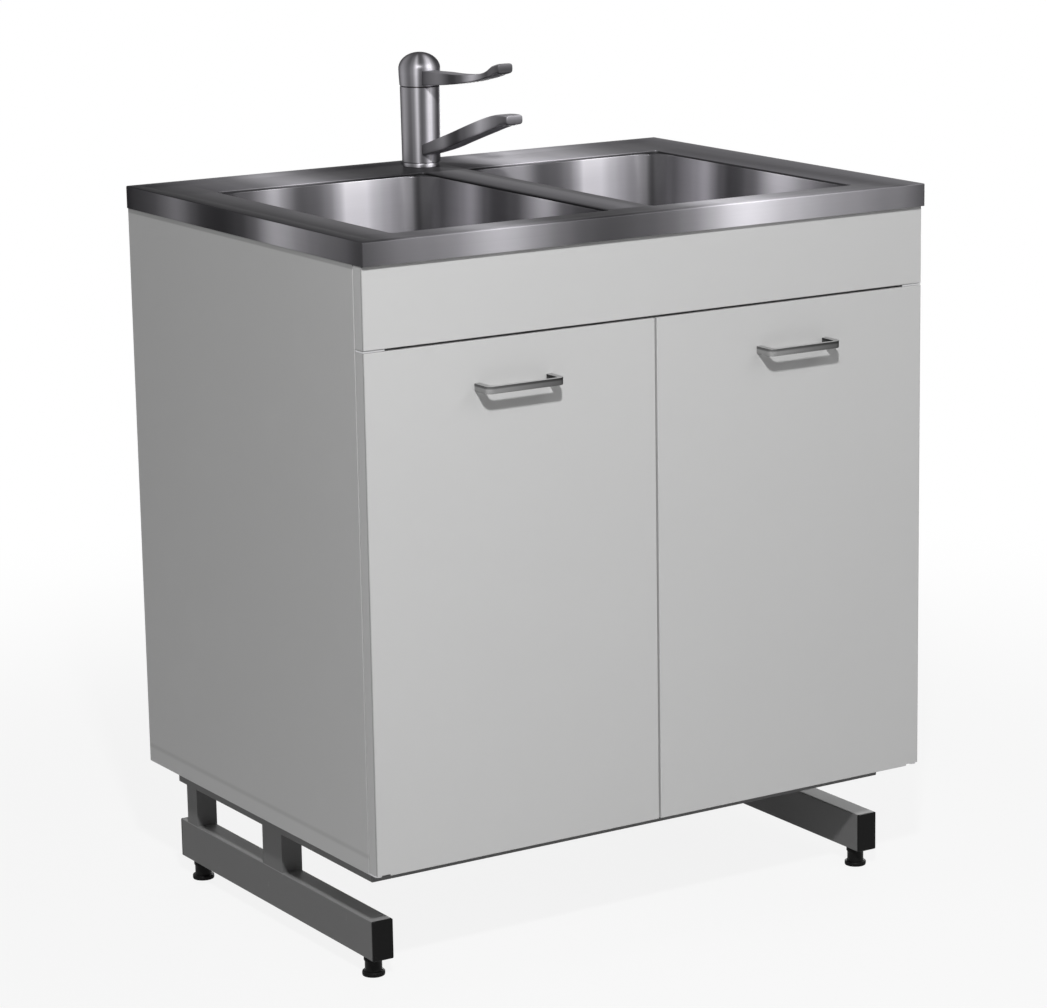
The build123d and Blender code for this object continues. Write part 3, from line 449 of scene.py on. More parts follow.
bowlLook = {
    # painted reflection bands, as levels by x along the back and front walls and by y along the side walls,
    # from the middle of each bowl
    "acrossLeft": [
        (-150, 70), (-125, 78), (-100, 96), (-82, 138), (-70, 160), (-60, 142), (-40, 94), (-20, 85), (0, 103),
        (15, 136), (28, 185), (40, 228), (55, 224), (70, 194), (85, 170), (100, 152), (118, 130), (128, 90),
        (134, 54), (140, 74), (150, 78)],
    "acrossRight": [
        (-150, 84), (-125, 108), (-100, 130), (-82, 136), (-60, 136), (-40, 94), (-20, 85), (0, 102),
        (15, 134), (28, 183), (40, 230), (55, 218), (70, 190), (85, 168), (100, 148), (118, 126), (128, 88),
        (134, 54), (140, 74), (150, 78)],
    "deepLeft": [
        (-217, 60), (-170, 70), (-135, 84), (-105, 112), (-75, 162), (-45, 142), (-15, 92), (15, 70), (45, 62),
        (60, 72), (75, 84), (92, 112), (105, 124), (120, 114), (135, 104), (165, 84), (185, 74), (217, 56)],
    "deepRight": [
        (-217, 64), (-170, 92), (-135, 124), (-105, 152), (-75, 182), (-45, 176), (-15, 118), (15, 84),
        (45, 64), (60, 74), (75, 88), (92, 120), (105, 134), (120, 124), (135, 116), (165, 96), (185, 80),
        (217, 56)],
    "acrossGain": 0.64, "deepGain": 0.5, "cornerBlend": 8,
    "floor": 0.2, "floorShare": 0.94, "floorZ": (739, 762),
    "wander": 0.01, "wallGrain": 480, "floorGrain": 420, "broadGrain": 90, "roughness": 0.24,
}


def bowlSteel():
    look = bowlLook
    steel = Finish("bowlSteel", **satin)
    halfWidth, halfLength = bowl["width"] / 2, bowl["length"] / 2
    right = steel.x > 0
    across = steel.x - (right * 2 - 1) * (-bowl["x"] / 1000)
    deep = steel.y - bowl["y"] / 1000
    wander = (steel.noise(4.0, 1.0) - 0.5) * look["wander"]

    def paintedWallReflections(where, half, table):
        share = steel.share(where, -half, half) + wander
        left, other = (steel.paintedReflections(share, look[table + end], -half, half, look[table + "Gain"])
                       for end in ("Left", "Right"))
        return steel.blend(right, left, other)

    # the painted reflection bands of the back and front walls meet those of the side walls in the corners
    corner = (abs(across) - halfWidth / 1000) - (abs(deep) - halfLength / 1000)
    onSide = steel.over(corner, -look["cornerBlend"], look["cornerBlend"])
    walls = steel.blend(onSide, paintedWallReflections(across, halfWidth, "across"),
                        paintedWallReflections(deep, halfLength, "deep"))
    floor = steel.within(steel.z, *look["floorZ"])
    base = steel.blend(floor * look["floorShare"], walls, grey(look["floor"]))
    wallStrokes, floorStrokes = (steel.strokes(4, 4, look["wallGrain"]),
                                 steel.strokes(5, look["floorGrain"], 5))
    strokes = wallStrokes * (1 - floor) + floorStrokes * floor
    broad = steel.strokes(3, 3, look["broadGrain"], detail=2.0)
    wearAndAnyPaintedLight = 0.95 + strokes * 0.05 + broad * 0.05
    return steel.send(Base_Color=steel.tinted(steel.shade(base, wearAndAnyPaintedLight), steelTint),
                      Roughness=look["roughness"] + strokes * 0.04,
                      Normal=steel.bump(strokes, 0.01, 0.12))


tapLook = {
    # painted reflection bands, as levels by the turn round the axis, counted from the front left corner of the
    # unit
    "round": [
        (-180, 92), (-140, 120), (-112, 100), (-90, 88), (-78, 96), (-64, 136), (-56, 152), (-48, 145),
        (-38, 122), (-30, 108), (-24, 122), (-16, 152), (-8, 212), (-3, 165), (0, 122), (8, 104), (16, 150),
        (24, 226), (32, 248), (40, 186), (48, 130), (56, 88), (64, 76), (72, 80), (90, 82), (112, 80),
        (140, 120), (180, 92)],
    "facing": -31, "fillLight": 0.45, "keyLight": 0.5,
    "dome": 112, "domeRadius": (8, 24), "domeZ": (1020, 1038), "domePaintedShade": 0.62,
    # painted reflection bands along the sides by the reach from the axis, and a painted highlight up the end
    # plate
    "leverSide": [
        (20, 84), (36, 98), (54, 112), (66, 114), (76, 104), (90, 76), (100, 67), (110, 78), (125, 105),
        (140, 155), (150, 172), (160, 150), (172, 112), (183, 80), (190, 91), (200, 92), (213, 76)],
    "spoutSide": [
        (20, 84), (36, 97), (56, 109), (74, 126), (83, 112), (92, 84), (109, 66), (120, 86), (134, 100),
        (153, 132), (164, 160), (174, 156), (192, 127), (208, 105), (222, 92), (233, 86)],
    "sideGain": 0.68, "sideEdge": (1.3, 0.4), "sideStop": (2.6, 1.4),
    "leverTop": 140, "leverEnd": (95, 88, 125), "leverEndZ": (1035, 1041, 1047.8),
    "spoutTop": 150, "spoutEnd": (112, 130, 172), "spoutEndZ": (973, 979, 985.2),
    "topGain": 0.8, "endEdge": (4.2, 3.0), "roughness": 0.32,
}


def turnedSteel():
    look = tapLook
    steel = Finish("tapSteel", **satin)
    # the turn is counted from where the unit's front left corner looks to
    offX, offY = steel.x - tap["x"] / 1000, steel.y - tap["y"] / 1000
    cosine, sine = cos(radians(look["facing"])), sin(radians(look["facing"]))
    aside = offX * cosine + offY * sine
    towards = offX * sine - offY * cosine
    share = aside.sum("ARCTAN2", aside, towards) / (2 * pi) + 0.5
    stops = []
    for turned, level in look["round"]:
        light = look["fillLight"] + look["keyLight"] * max(cos(radians(turned)), 0)
        stops.append(((turned + 180) / 360, tone(level) / light))
    paintedReflections = steel.ramp(share, stops, "CARDINAL")
    # the painted reflection bands die out towards the crown of the cap into a plain tone, and painted shade
    # darkens the top of the cap
    flat = steel.node("ShaderNodeCombineXYZ", {}, [offX, offY, 0.0])
    radius = steel.vector("LENGTH", flat, output="Value")
    paintedCrown = steel.within(radius, *look["domeRadius"]) * (steel.z > look["domeZ"][0] / 1000)
    paintedReflections = steel.blend(paintedCrown, paintedReflections, grey(tone(look["dome"])))
    paintedReflections = steel.shade(paintedReflections, steel.over(steel.z, *look["domeZ"], 1.0, look["domePaintedShade"]))
    rings = steel.strokes(8, 8, 520, detail=2.0)
    colour = steel.tinted(steel.shade(paintedReflections, 0.96 + rings * 0.08), steelTint)
    rough = look["roughness"] + steel.strokes(500, 500, 6) * 0.06
    return steel.send(Base_Color=colour, Roughness=rough, Normal=steel.bump(rings, 0.01, 0.12))


def barSteel(which):
    # the lever and the spout: painted reflection bands along their two sides, plain on top, and a painted
    # highlight up the end
    look = tapLook
    steel = Finish(which + "Steel", **satin)
    start, end, halfWidth = tap[which][0][0], tap[which][-1][0], tap[which + "Width"] / 2
    forward = tap["y"] / 1000 - steel.y
    share = steel.share(forward, start, end)
    side = steel.paintedReflections(share, look[which + "Side"], start, end, look["sideGain"])
    onSide = steel.over(abs(steel.x), *(halfWidth - edge for edge in look["sideEdge"])) \
        * steel.within(forward, *(end - edge for edge in look["sideStop"]))
    # the end plate carries a painted highlight towards its upper edge, and the dark end of the painted side
    # bands runs round it
    heights = look[which + "EndZ"]
    low, high = heights[0], heights[-1]
    plate = steel.paintedReflections(steel.share(steel.z, low, high), zip(heights, look[which + "End"]), low, high)
    atEnd = steel.over(forward, *(end - edge for edge in look["endEdge"]))
    other = steel.blend(atEnd, grey(tone(look[which + "Top"]) / look["topGain"]), plate)
    paintedReflections = steel.blend(onSide, other, side)
    strokes = steel.strokes(200, 8, 200)
    colour = steel.tinted(steel.shade(paintedReflections, 0.97 + strokes * 0.05), steelTint)
    rough = look["roughness"] + strokes * 0.04
    return steel.send(Base_Color=colour, Roughness=rough, Normal=steel.bump(strokes, 0.01, 0.1))


handleLook = {
    # painted reflection bands along the grip, from the middle of each handle
    "front": [
        (-53, 146), (-50, 142), (-44, 128), (-36, 124), (-26, 120), (-10, 112), (5, 104), (20, 98), (35, 90),
        (46, 82), (53, 58)],
    "metallic": 0.5, "gain": 0.95, "upperFrom": (0.2, 2.4), "upperPaintedShade": (1.1, 0.42),
    "top": 185, "topEdge": (0.7, 0.2), "grain": 520, "roughness": 0.24,
}


def handleSteel():
    look, h = handleLook, handle
    steel = Finish("handleSteel", **{**satin, "Metallic": look["metallic"]})
    along = steel.x - ((steel.x > 0) * 2 - 1) * (-h["x"] / 1000)
    share = steel.share(along, -h["half"], h["half"])
    paintedReflections = steel.paintedReflections(share, look["front"], -h["half"], h["half"], look["gain"])
    # painted shade darkens the upper half of the grip, under a painted highlight along its top edge
    upper = (h["middle"] + above for above in look["upperFrom"])
    paintedReflections = steel.shade(paintedReflections, steel.over(steel.z, *upper, *look["upperPaintedShade"]))
    high = h["middle"] + h["tall"] / 2
    paintedTopHighlight = steel.over(steel.z, *(high - under for under in look["topEdge"]))
    paintedReflections = steel.blend(paintedTopHighlight, paintedReflections, grey(tone(look["top"])))
    strokes = steel.strokes(8, look["grain"], look["grain"])
    return steel.send(Base_Color=steel.shade(paintedReflections, 0.94 + strokes * 0.12),
                      Roughness=look["roughness"] + strokes * 0.1,
                      Normal=steel.bump(strokes, 0.01, 0.3))


# the plain finishes: a level is the base colour's grey
finishes = {
    "carcassBoard": {"level": 0.53, "roughness": 0.5},
    "frontBoard": {"level": 0.54, "roughness": 0.42},
    "powderPaint": {"level": 0.145, "roughness": 0.55, "railTop": 75, "paintedTopLight": 1.7},
    "wasteSteel": {"level": 0.42, "roughness": 0.2, "stretch": (12, 12, 500), "scuffs": 0.15},
    "aeratorSteel": {"level": 0.3, "roughness": 0.25, "stretch": (10, 10, 500), "scuffs": 0.15},
    "zincSteel": {"level": 0.55, "roughness": 0.3, "stretch": (200, 200, 200), "scuffs": 0.25},
    "blackPlastic": {"colour": (0.005, 0.005, 0.005), "roughness": 0.5, "shine": 0.1},
    "pipePlastic": {"colour": (0.78, 0.78, 0.76), "roughness": 0.38, "shine": 0.5},
    "catchPlastic": {"colour": (0.7, 0.7, 0.68), "roughness": 0.4, "shine": 0.5},
    "cartridgePlastic": {"colour": (0.75, 0.75, 0.72), "roughness": 0.3, "shine": 0.5},
}


def plainSteel(name):
    look = finishes[name]
    steel = Finish(name, Metallic=0.85)
    strokes = steel.strokes(*look["stretch"])
    patches = steel.noise(35.0, 3.0)
    scratches = steel.spread(steel.noise(260.0, 4.0), 0.6, 0.75)
    wearAndAnyPaintedLight = look["level"] * (0.9 + strokes * 0.12 + patches * 0.1)
    return steel.send(Base_Color=steel.shade((1.0, 1.0, 1.015), wearAndAnyPaintedLight),
                      Roughness=look["roughness"] + patches * 0.1 + scratches * look["scuffs"],
                      Normal=steel.bump(strokes + scratches * 0.4, 0.02, 0.3))


def facedBoard(name, marksAndPaintedShade):
    # melamine faced board: even colour, a fine pressed grain and faint rubbed patches
    look = finishes[name]
    board = Finish(name, Specular_IOR_Level=0.35)
    fine = board.noise(1400.0, 2.0)
    cloud = board.noise(5.0, 3.0)
    rubbed = board.spread(board.noise(14.0, 4.0), 0.52, 0.75)
    # the marks passed in are multiplied in: seam lines, and on the side panels a painted shadow
    wearAndAnyPaintedLight = look["level"] * (0.985 + (fine - 0.5) * 0.02 + (cloud - 0.5) * 0.025) * marksAndPaintedShade(board)
    return board.send(Base_Color=board.shade((1.0, 1.0, 0.998), wearAndAnyPaintedLight),
                      Roughness=look["roughness"] + (cloud - 0.5) * 0.08 - rubbed * 0.04,
                      Normal=board.bump(fine + cloud * 0.5, 0.02, 0.25))


panelMarks = {
    "footBandZ": (168.5, 171.5), "footBandLevel": 1.03, "lineSoft": (0.5, 5), "lineShade": 0.86,
    "deckZ": (865.5, 868), "deckShade": 0.62,
    "bandX": 398, "bandY": -281.2, "bandSoft": (0.6, 1.6), "bandShade": 0.35,
}


def sideMarksAndPaintedShadow(board):
    # the foot of the side panel is a little lighter below a set height, with a soft darker line along that
    # height, and under the deck's skirt a painted shadow darkens the panel
    footBand = board.over(board.z, *panelMarks["footBandZ"], panelMarks["footBandLevel"], 1.0)
    offLine = abs(board.z - panelMarks["footBandZ"][1] / 1000)
    line = board.over(offLine, *panelMarks["lineSoft"], panelMarks["lineShade"], 1.0)
    under = board.over(board.z, *panelMarks["deckZ"], 1.0, panelMarks["deckShade"])
    return footBand * line * under


def frontSeams(board):
    # a thin dark line where the edge band meets the face
    onEdge = abs(board.x) > panelMarks["bandX"] / 1000
    offBand = abs(board.y - panelMarks["bandY"] / 1000)
    return 1 - onEdge * board.over(offBand, *panelMarks["bandSoft"], panelMarks["bandShade"], 0.0)


def rawBoard():
    board = Finish("particleBoard", Roughness=0.85)
    chips = {"Vector": board.place, "Scale": 420.0}
    flakes = board.node("ShaderNodeTexVoronoi", {}, chips, "Color")
    tint = board.node("ShaderNodeSeparateColor", {}, [flakes])
    grain = board.noise(150.0, 4.0)
    stops = [(0.2, (0.30, 0.20, 0.11, 1)), (0.5, (0.48, 0.35, 0.21, 1)),
             (0.8, (0.62, 0.49, 0.32, 1))]
    colour = board.ramp(tint * 0.6 + grain * 0.4, stops)
    return board.send(Base_Color=colour, Normal=board.bump(tint * 0.5 + grain, 0.3, 0.6))


def hardBoard():
    board = Finish("hardBoard", Roughness=0.6)
    fleck = board.noise(320.0, 3.0)
    weave = board.strokes(500, 500, 60, detail=2.0)
    stops = [(0.3, (0.57, 0.55, 0.51, 1)), (0.7, (0.66, 0.645, 0.61, 1))]
    colour = board.ramp(fleck * 0.6 + weave * 0.4, stops)
    return board.send(Base_Color=colour, Normal=board.bump(fleck + weave, 0.05, 0.4))


def powderPaint():
    # dark grey baked powder paint with its orange peel and a few bright rubs
    look = finishes["powderPaint"]
    paint = Finish("powderPaint", Specular_IOR_Level=0.35)
    peel = paint.noise(520.0, 1.0)
    cloud = paint.noise(9.0, 3.0)
    rub = paint.spread(paint.noise(60.0, 5.0), 0.68, 0.74)
    # painted light: the top faces of the rails are painted lighter
    paintedTopLight = paint.over(abs(paint.z - look["railTop"] / 1000), 0.4, 1.0, look["paintedTopLight"], 1.0)
    wearAndAnyPaintedLight = (0.94 + cloud * 0.12 + rub * 0.1) * paintedTopLight
    return paint.send(Base_Color=paint.shade(grey(look["level"]), wearAndAnyPaintedLight),
                      Roughness=look["roughness"] + cloud * 0.1 - rub * 0.1,
                      Normal=paint.bump(peel, 0.06, 0.4))


def mouldedPlastic(name):
    look = finishes[name]
    plastic = Finish(name, Specular_IOR_Level=look["shine"])
    spark = plastic.noise(900.0, 2.0)
    cloud = plastic.noise(22.0, 3.0)
    scuff = plastic.spread(plastic.noise(140.0, 5.0), 0.62, 0.72)
    shown = plastic.shade(look["colour"], 0.92 + cloud * 0.16 + scuff * 0.06)
    rough = look["roughness"] + (cloud - 0.5) * 0.12 + scuff * 0.08
    return plastic.send(Base_Color=shown, Roughness=rough, Normal=plastic.bump(spark, 0.03, 0.5))


def turnedBrass():
    brass = Finish("turnedBrass", Metallic=1.0)
    rings = brass.strokes(10, 10, 900, detail=2.0)
    tarnish = brass.noise(60.0, 4.0)
    colour = brass.ramp(tarnish, [(0.3, (0.50, 0.36, 0.14, 1)), (0.7, (0.68, 0.53, 0.26, 1))])
    return brass.send(Base_Color=colour, Roughness=0.22 + tarnish * 0.2,
                      Normal=brass.bump(rings, 0.02, 0.4))


# sink deck: one pressed and folded sheet

deck = {
    "left": -400, "right": 400, "front": -288, "back": 312, "top": 900, "bottom": 872,
    "rim": 14, "slope": 12, "drop": 2, "sheet": 1, "flange": 12,
    "edgeRound": 1.6, "slopeRound": 4.5, "lipRound": 0.7, "mouthRound": 6,
    "mouthIn": 30, "mouthOut": 330, "mouthFront": -232, "mouthBack": 202, "lip": 3,
    "crownHalf": 17, "crownHeight": 1.8, "crownFront": -224, "crownBack": 194, "crownFade": 9,
    "crownCuts": (0, 0.4, 0.75),
}


def makeDeck(steel):
    d = deck
    width, length = d["right"] - d["left"], d["back"] - d["front"]
    middleY, ledge = (d["front"] + d["back"]) / 2, d["top"] - d["drop"]
    dropAll()
    bpy.ops.mesh.primitive_plane_add(size=1, location=metres(0, middleY, d["top"]))
    piece = bpy.context.object
    piece.scale = metres(width, length, 1000)
    settle(piece)
    rimX, rimFront, rimBack = d["right"] - d["rim"], d["front"] + d["rim"], d["back"] - d["rim"]
    ledgeX, ledgeFront, ledgeBack = rimX - d["slope"], rimFront + d["slope"], rimBack - d["slope"]
    half = d["crownHalf"]
    cutsX = [rimX, ledgeX, d["mouthOut"], d["mouthIn"], half]
    cutsX += [half * share for share in reversed(d["crownCuts"][1:])]
    sliceAcross(piece, (1, 0, 0), [side * x for x in cutsX for side in (-1, 1)] + [0])
    sliceAcross(piece, (0, 1, 0), [
        rimFront, ledgeFront, d["mouthFront"], d["crownFront"], d["crownFront"] + d["crownFade"],
        d["crownBack"] - d["crownFade"], d["crownBack"], d["mouthBack"], ledgeBack, rimBack])
    # the ledge lies a little under the rim, which runs down to it in a soft slope
    pick(piece, "FACE", lambda p, n: abs(p.x) < ledgeX and ledgeFront < p.y < ledgeBack)
    move(0, 0, -d["drop"])

    def onSlopeEdge(a, b, normals):
        onSide = bothNear(abs(a.x), abs(b.x), rimX) \
            and min(a.y, b.y) > rimFront - 1 and max(a.y, b.y) < rimBack + 1
        onEnd = any(bothNear(a.y, b.y, y) for y in (rimFront, rimBack)) \
            and max(abs(a.x), abs(b.x)) < rimX + 1
        inner = bothNear(abs(a.x), abs(b.x), ledgeX) \
            or any(bothNear(a.y, b.y, y) for y in (ledgeFront, ledgeBack))
        return bothNear(a.z, b.z, d["top"]) and (onSide or onEnd) \
            or bothNear(a.z, b.z, ledge) and inner

    roundOff(piece, onSlopeEdge, d["slopeRound"], 3)
    # crowned strip between the two bowls
    for share in d["crownCuts"]:
        pick(piece, "VERT", lambda p: near(abs(p.x), half * share)
             and d["crownFront"] + 1 < p.y < d["crownBack"] - 1)
        move(0, 0, d["crownHeight"] * (1 - share ** 2))
    # the bowl mouths, with a lip turned down into each
    pick(piece, "FACE", lambda p, n: d["mouthIn"] < abs(p.x) < d["mouthOut"]
         and d["mouthFront"] < p.y < d["mouthBack"])
    bpy.ops.mesh.delete(type="FACE")

    def onMouth(a, b, normals):
        along = near(a.x, b.x) and (near(abs(a.x), d["mouthIn"]) or near(abs(a.x), d["mouthOut"])) \
            and min(a.y, b.y) > d["mouthFront"] - 1 and max(a.y, b.y) < d["mouthBack"] + 1
        across = near(a.y, b.y) and (near(a.y, d["mouthFront"]) or near(a.y, d["mouthBack"])) \
            and min(abs(a.x), abs(b.x)) > d["mouthIn"] - 1 \
            and max(abs(a.x), abs(b.x)) < d["mouthOut"] + 1
        return (along or across) and bothNear(a.z, b.z, ledge)

    pick(piece, "EDGE", onMouth)
    drawEdges(0, 0, -d["lip"])
    # the skirt all round, and its flange turned in under the edge
    pick(piece, "EDGE", lambda a, b, normals: (near(a.x, b.x) and near(abs(a.x), d["right"]))
         or (near(a.y, b.y) and (near(a.y, d["front"]) or near(a.y, d["back"]))))
    drawEdges(0, 0, d["bottom"] - d["top"])
    drawEdges(0, 0, 0)
    scaleAbout(1 - 2 * d["flange"] / width, 1 - 2 * d["flange"] / length, 1,
               (0, middleY, d["bottom"]))
    faceOutwards()
    # corners of the mouths, then the soft bends of the sheet
    roundOff(piece, lambda a, b, normals: sharp(normals) and near(a.x, b.x) and near(a.y, b.y)
             and abs(a.x) < d["mouthOut"] + 1, d["mouthRound"], 6)
    roundOff(piece, lambda a, b, normals: sharp(normals) and near(max(a.z, b.z), d["top"])
             and (abs(a.x) > d["right"] - 1 or abs(a.y - middleY) > length / 2 - 1),
             d["edgeRound"], 3)
    roundOff(piece, lambda a, b, normals: sharp(normals) and bothNear(a.z, b.z, ledge),
             d["lipRound"], 2)
    wall(piece, d["sheet"])
    finishPiece(piece, "deckSheet", "cabinet", "sink_steel", steel, "sink_deck", smooth=35)


# bowls

bowl = {
    "x": -180, "apart": 360, "y": -15, "width": 300, "length": 434, "top": 895, "floor": 736,
    "draft": 4.1, "cornerRound": 42, "floorRound": 28, "rimRound": 1.2, "flange": 4, "sheet": 1,
    "wasteY": 45, "wasteHole": 43.4,
}


def makeBowls(steel):
    b = bowl
    x, y, width, length, top, floor = (b[key] for key in
                                       ("x", "y", "width", "length", "top", "floor"))
    piece = block(x - width / 2, x + width / 2, y - length / 2, y + length / 2, floor, top)
    pick(piece, "FACE", lambda p, n: n.z > 0.5)
    bpy.ops.mesh.delete(type="ONLY_FACE")
    pick(piece, "FACE", lambda p, n: n.z < -0.5)
    scaleAbout(1 - 2 * b["draft"] / width, 1 - 2 * b["draft"] / length, 1, (x, y, floor))
    roundOff(piece, lambda p, q, normals: not near(p.z, q.z), b["cornerRound"], 16)
    roundOff(piece, lambda p, q, normals: bothNear(p.z, q.z, floor) and sharp(normals),
             b["floorRound"], 8)
    # the floor is cut away and filled again round the waste
    pick(piece, "FACE", lambda p, n: near(p.z, floor, 0.2))
    bpy.ops.mesh.delete(type="ONLY_FACE")
    bpy.ops.mesh.primitive_circle_add(vertices=48, radius=b["wasteHole"] / 1000,
                                      location=metres(x, b["wasteY"], floor))
    pick(piece, "EDGE", lambda p, q, normals: bothNear(p.z, q.z, floor) and len(normals) < 2)
    bpy.ops.mesh.fill(use_beauty=True)
    # the flat flange that lies under the deck round the mouth
    bpy.ops.mesh.select_all(action="DESELECT")
    bpy.ops.mesh.primitive_plane_add(size=1, location=metres(x, y, top))
    flangeX, flangeY = metres(width + 2 * b["flange"], length + 2 * b["flange"])
    scaleAbout(flangeX, flangeY, 1, (x, y, top))
    bpy.ops.mesh.delete(type="ONLY_FACE")
    pick(piece, "EDGE", lambda p, q, normals: bothNear(p.z, q.z, top) and len(normals) < 2)
    bpy.ops.mesh.fill(use_beauty=True)
    pickAll()
    bpy.ops.mesh.remove_doubles(threshold=weld / 1000)
    bpy.ops.mesh.normals_make_consistent(inside=True)
    # the side that water touches is modelled: its floor looks up, the sheet lies under it
    hold(piece)
    floorFace = min(piece.data.polygons, key=lambda face: face.center.z)
    if floorFace.normal.z < 0:
        openMesh(piece)
        pickAll()
        bpy.ops.mesh.flip_normals()
    roundOff(piece, lambda p, q, normals: bothNear(p.z, q.z, top) and sharp(normals),
             b["rimRound"], 3)
    wall(piece, b["sheet"])
    twin = copyOf(piece, b["apart"], 0)
    finishPiece(piece, "bowlLeft", "cabinet", "sink_steel", steel, "bowl_left", smooth=35)
    finishPiece(twin, "bowlRight", "cabinet", "sink_steel", steel, "bowl_right", smooth=35)


# wastes

waste = {
    "rings": [
        (41.4, 734.6), (43.6, 736.4), (46.5, 737.0), (48.0, 737.9), (54.6, 737.9), (55.7, 737.4), (56, 736.1),
        (43.3, 735.9), (43, 735.6), (43, 690.8), (42.2, 690), (21, 690), (20, 689), (20, 660), (18, 660),
        (18, 691), (18.6, 691.6), (38.6, 691.6), (41.4, 694.4)],
}


def makeWastes(steel):
    piece = turn(waste["rings"], bowl["x"], bowl["wasteY"], 72, closed=True)
    twin = copyOf(piece, bowl["apart"], 0)
    finishPiece(piece, "wasteLeft", "cabinet", "waste_steel", steel, "waste_left")
    finishPiece(twin, "wasteRight", "cabinet", "waste_steel", steel, "waste_right")


# handles: a flat bar bent back to the door at both ends

handle = {
    "x": -200.25, "apart": 400.5, "half": 53, "leg": 7.5, "front": -312, "bar": 3.6,
    "door": -282, "middle": 717.5, "tall": 9.5, "outerBend": 8, "innerBend": 5, "edge": 1.0,
}


def makeHandles(steel):
    h = handle
    x, half, legX, inner = h["x"], h["half"], h["half"] - h["leg"], h["front"] + h["bar"]
    low, high = h["middle"] - h["tall"] / 2, h["middle"] + h["tall"] / 2
    piece = block(x - half, x + half, h["front"], inner, low, high)
    sliceAcross(piece, (1, 0, 0), [x - half + h["leg"], x + half - h["leg"]])
    pick(piece, "FACE", lambda p, n: n.y > 0.5 and abs(p.x - x) > legX)
    drawFaces(0, h["door"] - inner, 0)
    pickAll()
    bpy.ops.mesh.dissolve_limited(angle_limit=0.01)
    roundOff(piece, lambda a, b, normals: not near(a.z, b.z) and bothNear(a.y, b.y, h["front"])
             and near(abs(a.x - x), half), h["outerBend"], 12)
    roundOff(piece, lambda a, b, normals: not near(a.z, b.z) and bothNear(a.y, b.y, inner)
             and near(abs(a.x - x), legX) and sharp(normals), h["innerBend"], 12)
    roundOff(piece, lambda a, b, normals: sharp(normals, 60) and near(a.z, b.z), h["edge"], 3)
    twin = copyOf(piece, h["apart"], 0)
    finishPiece(piece, "handleLeft", "door_left", "handle_steel", steel, "handle_left")
    finishPiece(twin, "handleRight", "door_right", "handle_steel", steel, "handle_right")


# tap: the cuts of the lever and the spout are reach from the axis, then lower and upper
# height above the ledge

tap = {
    "x": 0, "y": 261, "base": 898,
    "ring": [
        (17, 898), (22.9, 898), (23.7, 898.8), (23.7, 902.6), (23.3, 903.5), (22.4, 904), (17, 904)],
    "sleeve": [(18, 904.3), (24.5, 904.3), (25, 904.8), (25.8, 1001.5), (25.3, 1002), (18, 1002)],
    "capInside": [(0.5, 1043.6), (9, 1042.8), (17, 1039.6), (22.4, 1035), (24.6, 1028)],
    "capSide": [(23.9, 1003.2), (25.7, 1003.2), (26.2, 1003.8), (26.9, 1015)],
    "dome": (0, 1024.7, 27.2, 21.3, 0, 88, 16),
    "leverWidth": 22, "spoutWidth": 24, "edge": 1.6, "endRound": 4,
    "lever": [
        (20, 106.5, 126), (36, 108, 126), (54, 109.4, 126.8), (72, 111.2, 127.4), (98, 114.3, 127.4),
        (123, 117.9, 128.8), (142, 121, 130.7), (158, 124.2, 132.6), (172, 127.2, 135), (182, 129.5, 138),
        (190, 131.6, 142.4), (198, 133.8, 146.8), (206, 135.6, 149.2), (213, 137.2, 149.8)],
    "spout": [
        (20, 16, 30), (36, 19.2, 35), (56, 24.2, 41.2), (74, 28.7, 46.8), (92, 34, 52.4), (109, 39.8, 58),
        (132, 47, 65.6), (153, 53.6, 72.2), (172, 59.4, 78), (192, 65.8, 83.4), (208, 70.2, 86.4),
        (222, 73.5, 87.6), (233, 75, 87.2)],
    "aerator": [
        (0.5, 2.6), (7.2, 2.6), (7.4, -0.2), (7.7, -0.5), (9.1, -0.5), (9.4, -0.2), (9.4, 5.5)],
    "aeratorAt": (0, 40, 971.4), "aeratorTilt": -11,
}


def drawBar(cuts, width):
    # the side of the bar is drawn first as a strip of upright cuts, then given its width:
    # one edge of a plane this large is kept and made the first cut
    plane = 1000
    dropAll()
    bpy.ops.mesh.primitive_plane_add(size=plane / 1000, rotation=(0, pi / 2, 0))
    piece = bpy.context.object
    settle(piece)
    pick(piece, "VERT", lambda p: p.y > 0)
    bpy.ops.mesh.delete(type="VERT")
    pickAll()

    def middleOf(reach, low, high):
        return -width / 2, tap["y"] - reach, tap["base"] + (low + high) / 2

    reach, low, high = cuts[0]
    x, y, z = middleOf(reach, low, high)
    move(x, y + plane / 2, z)
    scaleAbout(1, 1, (high - low) / plane, (x, y, z))
    for nextReach, nextLow, nextHigh in cuts[1:]:
        drawEdges(0, reach - nextReach, (nextLow + nextHigh - low - high) / 2)
        scaleAbout(1, 1, (nextHigh - nextLow) / (high - low),
                   middleOf(nextReach, nextLow, nextHigh))
        reach, low, high = nextReach, nextLow, nextHigh
    openMesh(piece)
    bpy.ops.mesh.select_mode(type="FACE")
    pickAll()
    drawFaces(width, 0, 0)
    faceOutwards()
    return piece


def makeBar(which, name, node):
    cuts = tap[which]
    piece = drawBar(cuts, tap[which + "Width"])
    neck, tip = tap["y"] - cuts[-3][0] + 1, tap["y"] - cuts[-1][0]

    def onTipEdge(a, b, normals):
        return sharp(normals) and max(a.y, b.y) < neck and abs(a.y - b.y) > 1

    def onOtherEdge(a, b, normals):
        return sharp(normals) and (min(a.y, b.y) > neck - 2 or max(a.y, b.y) < tip + 0.1)

    # the long edges are rounded more towards the tip
    roundOff(piece, onTipEdge, tap["endRound"], 3)
    roundOff(piece, onOtherEdge, tap["edge"], 2)
    modifier(piece, "SUBSURF", levels=2, render_levels=2)
    finishPiece(piece, name, which, "tap_steel", barSteel(which), node, smooth=60)


